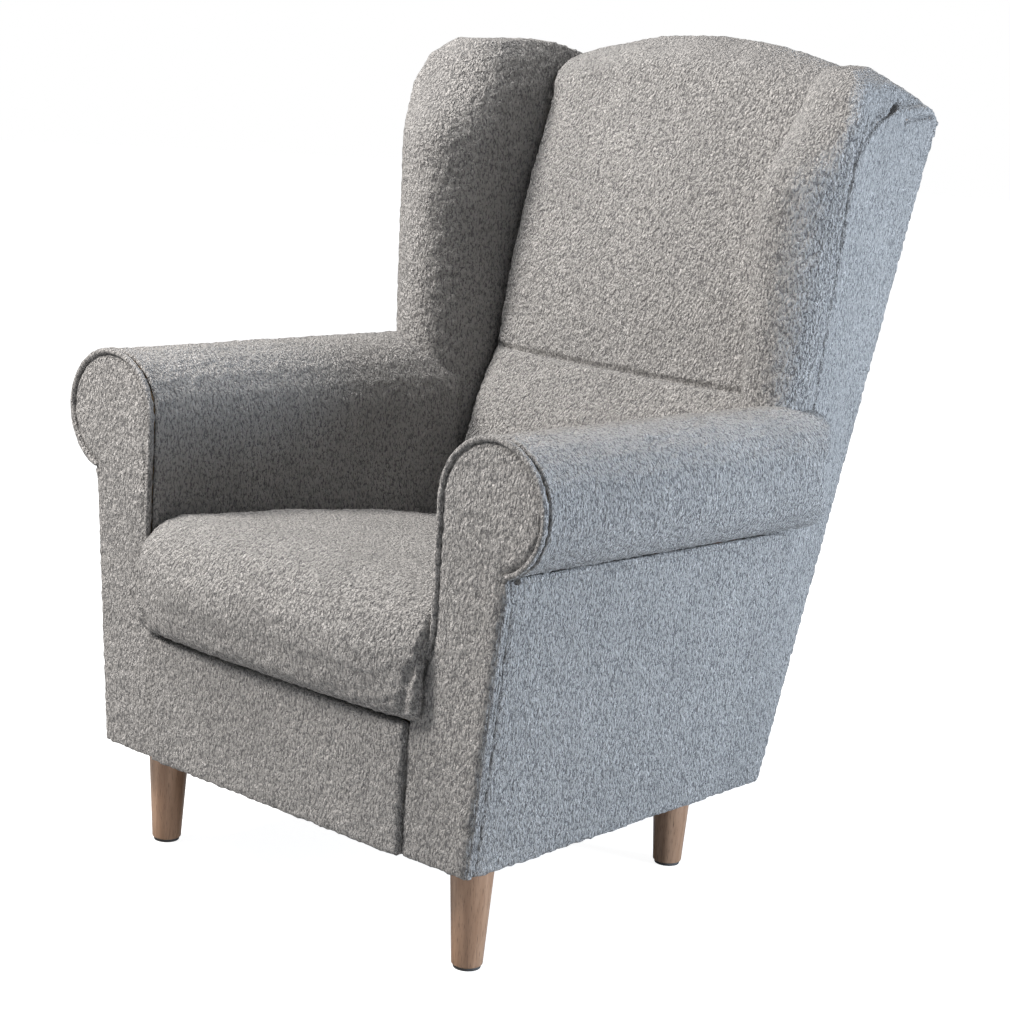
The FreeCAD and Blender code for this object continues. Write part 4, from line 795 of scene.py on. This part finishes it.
@dataclass
class SeatCushion(Padding):
    """Sprung seat with a round nose, tight between the arms."""

    name: str = "seat_cushion"
    nodes: list[str] = field(default_factory=lambda: ["seat_cover", "seat_foam"])
    pressure: float = 3.0
    travel: float = 0.003
    fold: Line = ((0.243, -0.420, 0.385), (0.236, -0.437, 0.345), (0.224, -0.432, 0.300))
    fold_depth: float = 0.007
    fold_width: float = 0.006
    fold_facing: float = 0.3

    def shape(self, piece: bpy.types.Object) -> None:
        """Pinch the nose at its two ends.

        Args:
            piece: the cushion.
        """
        tree = cloud(along(self.fold, Side.LEFT) + along(self.fold, Side.RIGHT))

        def off_fold(place: Vector, normal: Vector) -> float:
            """Distance from the folds, on all but the rear."""
            return tree.find(place)[2] if normal.y < self.fold_facing else math.inf

        crease(piece, off_fold, self.fold_depth, self.fold_width)


@dataclass
class InsideBack(Padding):
    """Inside back: shoulder field, seam across it and lumbar field."""

    name: str = "inside_back"
    nodes: list[str] = field(default_factory=lambda: ["back_cover_upper", "lumbar_cover",
                                                      "back_foam"])
    voxel: float = 0.007
    pressure: float = 3.0
    seam_depth: float = 0.007
    seam_width: float = 0.0035
    seam_facing: float = -0.2

    def shape(self, piece: bpy.types.Object) -> None:
        """Draw in the seam across the back.

        Args:
            piece: the inside back.
        """
        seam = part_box("back_cover_upper")[0].z

        def off_seam(place: Vector, normal: Vector) -> float:
            """Distance from the seam, on the front alone."""
            return abs(place.z - seam) if normal.y < self.seam_facing else math.inf

        crease(piece, off_seam, self.seam_depth, self.seam_width)


# Lines on the wing at the sitter's left, which the other wing mirrors.
OUTER_SEAM: Line = ((0.357, 0.1485, 0.50), (0.360, 0.1485, 0.618), (0.366, 0.1485, 0.745),
                    (0.371, 0.1485, 0.815), (0.376, 0.1485, 0.885), (0.377, 0.151, 0.932),
                    (0.376, 0.160, 0.948), (0.374, 0.178, 0.966), (0.365, 0.207, 0.983),
                    (0.345, 0.256, 0.997), (0.329, 0.300, 1.009))
PLEAT: Line = ((0.376, 0.157, 0.944), (0.375, 0.164, 0.968), (0.366, 0.185, 0.992))
CORNER_FOLD: Line = ((0.342, 0.303, 0.982), (0.330, 0.350, 0.987), (0.313, 0.411, 0.985))


@dataclass
class WingSide(Padding):
    """Wing with its thick front roll and dome, and the outside panel sewn to it."""

    voxel: float = 0.004
    rounds: int = 4
    levels: int = 0
    side: Side = Side.LEFT
    puff: float = 0.002
    seam_depth: float = 0.006
    seam_width: float = 0.0022
    seam_strip: float = 0.012
    seam_step: float = 0.001
    seam_cuts: int = 2
    seam_facing: float = 0.1
    bulge: float = 0.048
    bulge_peak: float = 0.3
    bulge_across: tuple[float, float] = (0.25, 0.377)
    bulge_depth: tuple[float, float] = (0.135, 0.22)
    bulge_height: tuple[float, float] = (0.43, 0.55)
    bulge_top: tuple[float, float] = (0.90, 1.0)
    roll_rounds: int = 20
    corner_lift: float = 0.014
    corner_depth: tuple[float, float] = (0.17, 0.30)
    corner_end: tuple[float, float] = (0.385, 0.435)
    corner_height: tuple[float, float] = (0.92, 0.98)

    def __post_init__(self) -> None:
        """Take this side's nodes."""
        self.name = self.side.node("wing_and_side")
        self.nodes = [self.side.node(stem)
                      for stem in ("wing_cover", "wing_foam", "side_cover")]
        self.backing = [self.side.node("side_liner")]

    def shape(self, piece: bpy.types.Object) -> None:
        """Round the front roll, fill out the top's rear corner and draw in the seams.

        Args:
            piece: the wing with its outside panel.
        """
        finish_modifier(piece, "DISPLACE", strength=self.puff, mid_level=0.0)
        self.round_roll(piece)
        for vertex in piece.data.vertices:
            share = (ramp(vertex.co.y, *self.corner_depth) * ramp(vertex.co.z, *self.corner_height)
                     * (1 - ramp(vertex.co.y, *self.corner_end)))
            vertex.co.z += self.corner_lift * share
        lines = [point for line in (OUTER_SEAM, PLEAT, CORNER_FOLD)
                 for point in along(line, self.side, self.seam_step)]
        tree = cloud([Vector((0.0, point.y, point.z)) for point in lines])

        def off_line(place: Vector, normal: Vector) -> float:
            """Distance from the lines as seen from the side, on the outside alone."""
            if normal.x * self.side.value < self.seam_facing:
                return math.inf
            return tree.find((0.0, place.y, place.z))[2]

        self.split_faces(piece, off_line)
        crease(piece, off_line, self.seam_depth, self.seam_width)

    def round_roll(self, piece: bpy.types.Object) -> None:
        """Swell the roll forward between its two edges and smooth it.

        Args:
            piece: the wing with its outside panel.
        """
        group = piece.vertex_groups.new(name="roll")
        low, high = self.bulge_across
        for vertex in piece.data.vertices:
            co = vertex.co
            across = min(max((abs(co.x) - low) / (high - low), 0.0), 1.0)
            swell = 1 - ((across - self.bulge_peak) / (1 - self.bulge_peak)) ** 2
            share = ((1 - ramp(co.y, *self.bulge_depth)) * ramp(co.z, *self.bulge_height)
                     * (1 - ramp(co.z, *self.bulge_top)))
            group.add([vertex.index], share, "REPLACE")
            co.y -= self.bulge * swell * share
        finish_modifier(piece, "SMOOTH", factor=SMOOTHING, iterations=self.roll_rounds,
                        vertex_group=group.name)

    def split_faces(self, piece: bpy.types.Object,
                    distance: Callable[[Vector, Vector], float]) -> None:
        """Subdivide the faces near a seam, so that it is drawn in finely.

        Args:
            piece: the object.
            distance: distance of a point with its normal from the seam.
        """
        only(piece)
        bpy.ops.object.mode_set(mode="EDIT")
        bpy.ops.mesh.select_mode(type="FACE")
        bpy.ops.mesh.select_all(action="DESELECT")
        mesh = bmesh.from_edit_mesh(piece.data)
        for face in mesh.faces:
            face.select = distance(face.calc_center_median(), face.normal) < self.seam_strip
        bmesh.update_edit_mesh(piece.data)
        bpy.ops.mesh.subdivide(number_cuts=self.seam_cuts)
        bpy.ops.object.mode_set(mode="OBJECT")


@dataclass
class RollSeam:
    """Fold of fabric where the arm roll is sewn to the outside panel."""

    finishes: Finishes
    side: Side
    radius: float = 0.0045
    sides: int = 12
    rows: int = 120
    height: float = 0.4885
    fall: float = 0.010
    reach: float = 0.3590
    tail: float = 0.045
    lump: float = 0.0012
    smooth_angle: float = 50.0

    def build(self) -> bpy.types.Object:
        """Lay the fold along the roll.

        Returns:
            The finished object.
        """
        low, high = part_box(self.side.node("arm_cover"))
        front, rear = low.y, high.y - self.tail
        only()
        bpy.ops.mesh.primitive_cylinder_add(
            vertices=self.sides, radius=self.radius, depth=rear - front,
            location=(self.side.value * self.reach, (front + rear) / 2,
                      self.height - self.fall / 2),
            rotation=(math.pi / 2 - math.atan(self.fall / (rear - front)), 0.0, 0.0))
        piece = bpy.context.view_layer.objects.active
        piece.name = self.side.node("roll_seam")
        bpy.ops.object.transform_apply(location=True, rotation=True, scale=True)
        select_edges(piece, lambda one, other: abs(one.y - other.y) > (rear - front) / 2)
        bpy.ops.mesh.subdivide(number_cuts=self.rows)
        bpy.ops.object.mode_set(mode="OBJECT")
        raise_lumps(piece, self.lump, layers=2)
        only(piece)
        bpy.ops.object.shade_smooth_by_angle(angle=math.radians(self.smooth_angle))
        settle(piece, self.finishes, Slot.BOUCLE, [])
        return piece


@dataclass
class ArmBody(Padding):
    """Arm roll with the arm's inner side in one length of fabric."""

    voxel: float = 0.0035
    rounds: int = 6
    levels: int = 0
    tuck: float = 0.018
    tuck_depth: tuple[float, float] = (0.09, 0.133)
    side: Side = Side.LEFT

    def __post_init__(self) -> None:
        """Take this side's nodes."""
        self.name = self.side.node("arm")
        self.nodes = [self.side.node(stem)
                      for stem in ("arm_cover", "arm_roll_foam", "inner_arm_foam")]
        self.backing = [self.side.node(stem) for stem in ("inner_arm_panel", "arm_welt")]

    def shape(self, piece: bpy.types.Object) -> None:
        """Tuck the roll's rear end into the wing.

        Args:
            piece: the arm.
        """
        for vertex in piece.data.vertices:
            vertex.co.y += self.tuck * ramp(vertex.co.y, *self.tuck_depth)


@dataclass
class Piping(Padding):
    """Piping round the scroll, drawn forward until it frames the facing."""

    voxel: float = 0.002
    rounds: int = 2
    levels: int = 0
    lump: float = 0.0012
    fill: float | None = None
    forward: float = 0.0115
    forward_low: float = 0.006
    neck_low: float = 0.47
    neck_high: float = 0.50
    outer_seam: float = 0.30
    side: Side = Side.LEFT

    def __post_init__(self) -> None:
        """Take this side's nodes."""
        self.name = self.side.node("piping")
        self.nodes = [self.side.node("arm_welt")]

    def shape(self, piece: bpy.types.Object) -> None:
        """Move the piping to the facing's front edge, less so along the outer seam.

        Args:
            piece: the piping.
        """
        for vertex in piece.data.vertices:
            share = 1.0
            if abs(vertex.co.x) > self.outer_seam:
                share = ramp(vertex.co.z, self.neck_low, self.neck_high)
            vertex.co.y -= self.forward_low + (self.forward - self.forward_low) * share


@dataclass
class Facing(Padding):
    """Padded panel over the front of an arm, sunk inside its piping."""

    voxel: float = 0.0035
    rounds: int = 3
    levels: int = 0
    groove_depth: float = 0.004
    groove_width: float = 0.004
    groove_facing: float = -0.5
    side: Side = Side.LEFT
    piping: bpy.types.Object | None = None

    def __post_init__(self) -> None:
        """Take this side's nodes."""
        self.name = self.side.node("arm_front")
        self.nodes = [self.side.node("arm_facing"), self.side.node("facing_padding")]

    def shape(self, piece: bpy.types.Object) -> None:
        """Draw the panel in along its piping.

        Args:
            piece: the facing.
        """
        tree = cloud([vertex.co for vertex in self.piping.data.vertices])

        def off_piping(place: Vector, normal: Vector) -> float:
            """Distance from the piping, on the front alone."""
            return tree.find(place)[2] if normal.y < self.groove_facing else math.inf

        crease(piece, off_piping, self.groove_depth, self.groove_width)


@dataclass
class FrontApron(Padding):
    """Padded panel under the seat's nose."""

    name: str = "front_apron"
    nodes: list[str] = field(default_factory=lambda: ["front_cover", "front_padding"])
    voxel: float = 0.0035
    rounds: int = 3
    levels: int = 0


@dataclass
class OutsideBack(Padding):
    """Flat outside of the back under its arched edge."""

    name: str = "outside_back"
    nodes: list[str] = field(default_factory=lambda: ["outside_back_cover"])
    backing: list[str] = field(default_factory=lambda: ["back_liner"])
    voxel: float = 0.0042
    rounds: int = 3
    levels: int = 0
    lump: float = 0.0025
    fill: float | None = None
    puff: float = 0.002
    corner_lift: float = 0.007
    corner_spread: float = 0.004
    corner_reach: tuple[float, float] = (0.20, 0.295)
    corner_height: tuple[float, float] = (0.93, 0.975)

    def shape(self, piece: bpy.types.Object) -> None:
        """Puff the panel a little and draw its top corners up to the wings.

        Args:
            piece: the outside back.
        """
        finish_modifier(piece, "DISPLACE", strength=self.puff, mid_level=0.0)
        for vertex in piece.data.vertices:
            share = (ramp(abs(vertex.co.x), *self.corner_reach)
                     * ramp(vertex.co.z, *self.corner_height))
            vertex.co.z += self.corner_lift * share
            vertex.co.x += math.copysign(self.corner_spread * share, vertex.co.x)


@dataclass
class Upholstery:
    """All covers with the padding under them."""

    finishes: Finishes

    def build(self) -> None:
        """Model and dress every upholstered piece."""
        SeatCushion(self.finishes).build()
        InsideBack(self.finishes).build()
        FrontApron(self.finishes).build()
        OutsideBack(self.finishes).build()
        for side in Side:
            WingSide(self.finishes, side=side).build()
            RollSeam(self.finishes, side).build()
            ArmBody(self.finishes, side=side).build()
            piping = Piping(self.finishes, side=side).build()
            Facing(self.finishes, side=side, piping=piping).build()


@dataclass
class Leg:
    """A turned, tapered leg with a glide under it."""

    name: str
    finishes: Finishes
    sides: int = 72
    edge: float = 0.002
    edge_rows: int = 3
    rim: float = 0.001
    smooth_angle: float = 40.0

    def build(self) -> bpy.types.Object:
        """Turn the leg over its CAD node.

        Returns:
            The leg.
        """
        low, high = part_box(self.name)
        centre = (low + high) / 2
        top = (high.x - low.x) / 2
        foot = self.foot_radius(low.z)
        only()
        bpy.ops.mesh.primitive_cone_add(vertices=self.sides, radius1=foot, radius2=top,
                                        depth=high.z - low.z, location=centre)
        piece = bpy.context.view_layer.objects.active
        piece.name = self.name + "_turned"
        self.ease_foot(piece, low.z - centre.z)
        only(piece)
        bpy.ops.object.transform_apply(location=True, rotation=True, scale=True)
        bpy.ops.object.shade_smooth_by_angle(angle=math.radians(self.smooth_angle))
        settle(piece, self.finishes, Slot.LEG, [self.name])
        return piece

    def foot_radius(self, floor: float) -> float:
        """Radius of the CAD leg at its foot.

        Args:
            floor: height of the foot.

        Returns:
            The radius.
        """
        low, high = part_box(self.name)
        middle = (low + high) / 2
        rim = [vertex.co for vertex in frame["nodes"][self.name].data.vertices
               if vertex.co.z < floor + self.rim]
        return max(math.hypot(co.x - middle.x, co.y - middle.y) for co in rim)

    def ease_foot(self, piece: bpy.types.Object, foot: float) -> None:
        """Bevel the leg's lower edge.

        Args:
            piece: the leg.
            foot: height of the foot in the leg's own measure.
        """
        select_edges(piece, lambda one, other: abs(one.z - foot) < SAME_HEIGHT
                     and abs(other.z - foot) < SAME_HEIGHT)
        bpy.ops.mesh.bevel(offset=self.edge, segments=self.edge_rows)
        bpy.ops.object.mode_set(mode="OBJECT")


@dataclass
class Glides:
    """Round plastic glides under the legs."""

    finishes: Finishes
    sides: int = 48
    edge: float = 0.0012
    edge_rows: int = 2
    greatest_radius: float = 0.0165
    smooth_angle: float = 40.0

    def build(self, legs: list[str]) -> None:
        """Model one glide, copy it under every leg and join the four.

        Args:
            legs: the legs' CAD nodes.
        """
        low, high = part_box("leg_glides")
        radius = min(high.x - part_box("leg_front_left")[0].x, self.greatest_radius)
        copies = []
        for leg in legs:
            near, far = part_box(leg)
            spot = Vector(((near.x + far.x) / 2, (near.y + far.y) / 2, (low.z + high.z) / 2))
            if not copies:
                only()
                bpy.ops.mesh.primitive_cylinder_add(vertices=self.sides, radius=radius,
                                                    depth=high.z - low.z, location=spot)
                copies.append(bpy.context.view_layer.objects.active)
                self.round_edges(copies[0])
                continue
            only(copies[0])
            bpy.ops.object.duplicate()
            twin = bpy.context.view_layer.objects.active
            twin.location = spot
            copies.append(twin)
        only(*copies)
        bpy.ops.object.join()
        piece = bpy.context.view_layer.objects.active
        piece.name = "foot_glides"
        bpy.ops.object.transform_apply(location=True, rotation=True, scale=True)
        bpy.ops.object.shade_smooth_by_angle(angle=math.radians(self.smooth_angle))
        settle(piece, self.finishes, Slot.GLIDE, ["leg_glides"])

    def round_edges(self, piece: bpy.types.Object) -> None:
        """Bevel both rims of a glide.

        Args:
            piece: the glide.
        """
        select_edges(piece, lambda one, other: abs(one.z - other.z) < SAME_HEIGHT)
        bpy.ops.mesh.bevel(offset=self.edge, segments=self.edge_rows)
        bpy.ops.object.mode_set(mode="OBJECT")


@dataclass
class InnerFrame:
    """CAD nodes that stay: timber, springs, straps and the cloth underneath."""

    finishes: Finishes

    def dress(self) -> None:
        """Give every CAD node the finish of its slot."""
        for row in frame["record"]["subparts"]:
            node = frame["nodes"][row["node"]]
            self.finishes.put_on(node, Slot(row["material_slot"]))


@dataclass(frozen=True)
class Lamp:
    """An area lamp that looks at the chair."""

    name: str
    place: Spot
    size: float
    power: float
    colour: Colour

    def build(self, aim: Vector) -> None:
        """Hang the lamp and turn it to the chair.

        Args:
            aim: the point that the lamp looks at.
        """
        data = bpy.data.lights.new(self.name, "AREA")
        data.shape = "DISK"
        data.size = self.size
        data.energy = self.power
        data.color = self.colour
        item = bpy.data.objects.new(self.name, data)
        bpy.context.scene.collection.objects.link(item)
        item.location = self.place
        item.rotation_euler = (aim - Vector(self.place)).to_track_quat("-Z", "Y").to_euler()


@dataclass
class Studio:
    """Camera, lamps, floor and background."""

    azimuth: float = 42.116
    elevation: float = 12.088
    roll: float = 3.475
    eye: Spot = (2.093, -2.3385, 1.131)
    lens: float = 87.82
    sensor: float = 36.0
    aim: Spot = (0.0, 0.0, 0.5)
    lamps: tuple[Lamp, ...] = (
        Lamp("key", (-1.25, -1.7, 2.2), 0.7, 87.0, (1.0, 0.955, 0.905)),
        Lamp("cool", (2.4, 0.9, 0.75), 0.9, 84.0, (0.72, 0.845, 1.0)),
        Lamp("top", (-0.5, -0.9, 3.2), 0.9, 70.0, (1.0, 0.98, 0.96)),
    )
    ambient: float = 0.32
    ambient_colour: Colour = (0.93, 0.96, 1.0)
    floor_radius: float = 12.0
    floor_sides: int = 96
    floor_colour: Colour = (0.4, 0.4, 0.4)
    floor_glow: float = 0.92

    def build(self) -> None:
        """Set up the whole studio."""
        bpy.context.scene.view_settings.view_transform = "Standard"
        self.place_camera()
        for lamp in self.lamps:
            lamp.build(Vector(self.aim))
        self.lay_floor()
        self.light_world()

    def place_camera(self) -> None:
        """Stand the camera where the photograph was taken."""
        data = bpy.data.cameras.new("camera")
        data.lens = self.lens
        data.sensor_width = self.sensor
        turn, rise, roll = (math.radians(a) for a in (self.azimuth, self.elevation, self.roll))
        back = Vector((math.sin(turn) * math.cos(rise), -math.cos(turn) * math.cos(rise),
                       math.sin(rise)))
        right = Vector((0, 0, 1)).cross(back).normalized()
        up = back.cross(right).normalized()
        level = math.cos(roll) * right + math.sin(roll) * up
        upright = -math.sin(roll) * right + math.cos(roll) * up
        rows = [(level[i], upright[i], back[i]) for i in range(3)]
        item = bpy.data.objects.new("camera", data)
        bpy.context.scene.collection.objects.link(item)
        item.matrix_world = Matrix.Translation(self.eye) @ Matrix(rows).to_4x4()
        bpy.context.scene.camera = item

    def lay_floor(self) -> None:
        """Lay a pale floor that keeps the chair's shadow."""
        only()
        bpy.ops.mesh.primitive_circle_add(vertices=self.floor_sides, radius=self.floor_radius,
                                          fill_type="NGON", location=(0, 0, 0))
        floor = bpy.context.view_layer.objects.active
        floor.name = "floor"
        made = bpy.data.materials.new("pale_floor")
        made.use_nodes = True
        tree = made.node_tree
        shader = tree.nodes["Principled BSDF"]
        shader.inputs["Base Color"].default_value = (*self.floor_colour, 1.0)
        shader.inputs["Roughness"].default_value = 1.0
        path = tree.nodes.new("ShaderNodeLightPath")
        glow = tree.nodes.new("ShaderNodeEmission")
        total = tree.nodes.new("ShaderNodeAddShader")
        seen = tree.nodes.new("ShaderNodeMath")
        seen.operation = "MULTIPLY"
        seen.inputs[1].default_value = self.floor_glow
        tree.links.new(path.outputs["Is Camera Ray"], seen.inputs[0])
        tree.links.new(seen.outputs[0], glow.inputs["Strength"])
        tree.links.new(shader.outputs[0], total.inputs[0])
        tree.links.new(glow.outputs[0], total.inputs[1])
        tree.links.new(total.outputs[0], tree.nodes["Material Output"].inputs["Surface"])
        floor.data.materials.append(made)

    def light_world(self) -> None:
        """Make the world white to the camera and a soft light to the chair."""
        world = bpy.data.worlds.new("studio")
        world.use_nodes = True
        bpy.context.scene.world = world
        tree = world.node_tree
        soft = tree.nodes["Background"]
        soft.inputs["Color"].default_value = (*self.ambient_colour, 1.0)
        soft.inputs["Strength"].default_value = self.ambient
        white = tree.nodes.new("ShaderNodeBackground")
        white.inputs["Color"].default_value = (1.0, 1.0, 1.0, 1.0)
        white.inputs["Strength"].default_value = 1.0
        path = tree.nodes.new("ShaderNodeLightPath")
        either = tree.nodes.new("ShaderNodeMath")
        either.operation = "MAXIMUM"
        tree.links.new(path.outputs["Is Camera Ray"], either.inputs[0])
        tree.links.new(path.outputs["Is Glossy Ray"], either.inputs[1])
        choice = tree.nodes.new("ShaderNodeMixShader")
        tree.links.new(either.outputs[0], choice.inputs["Fac"])
        tree.links.new(soft.outputs[0], choice.inputs[1])
        tree.links.new(white.outputs[0], choice.inputs[2])
        tree.links.new(choice.outputs[0], tree.nodes["World Output"].inputs["Surface"])


def main() -> None:
    """Build the chair's looks piece by piece, then the studio."""
    finishes = Finishes()
    InnerFrame(finishes).dress()
    Upholstery(finishes).build()
    for name in LEGS:
        Leg(name, finishes).build()
    Glides(finishes).build(LEGS)
    Studio().build()


if __name__ == "__main__":
    main()
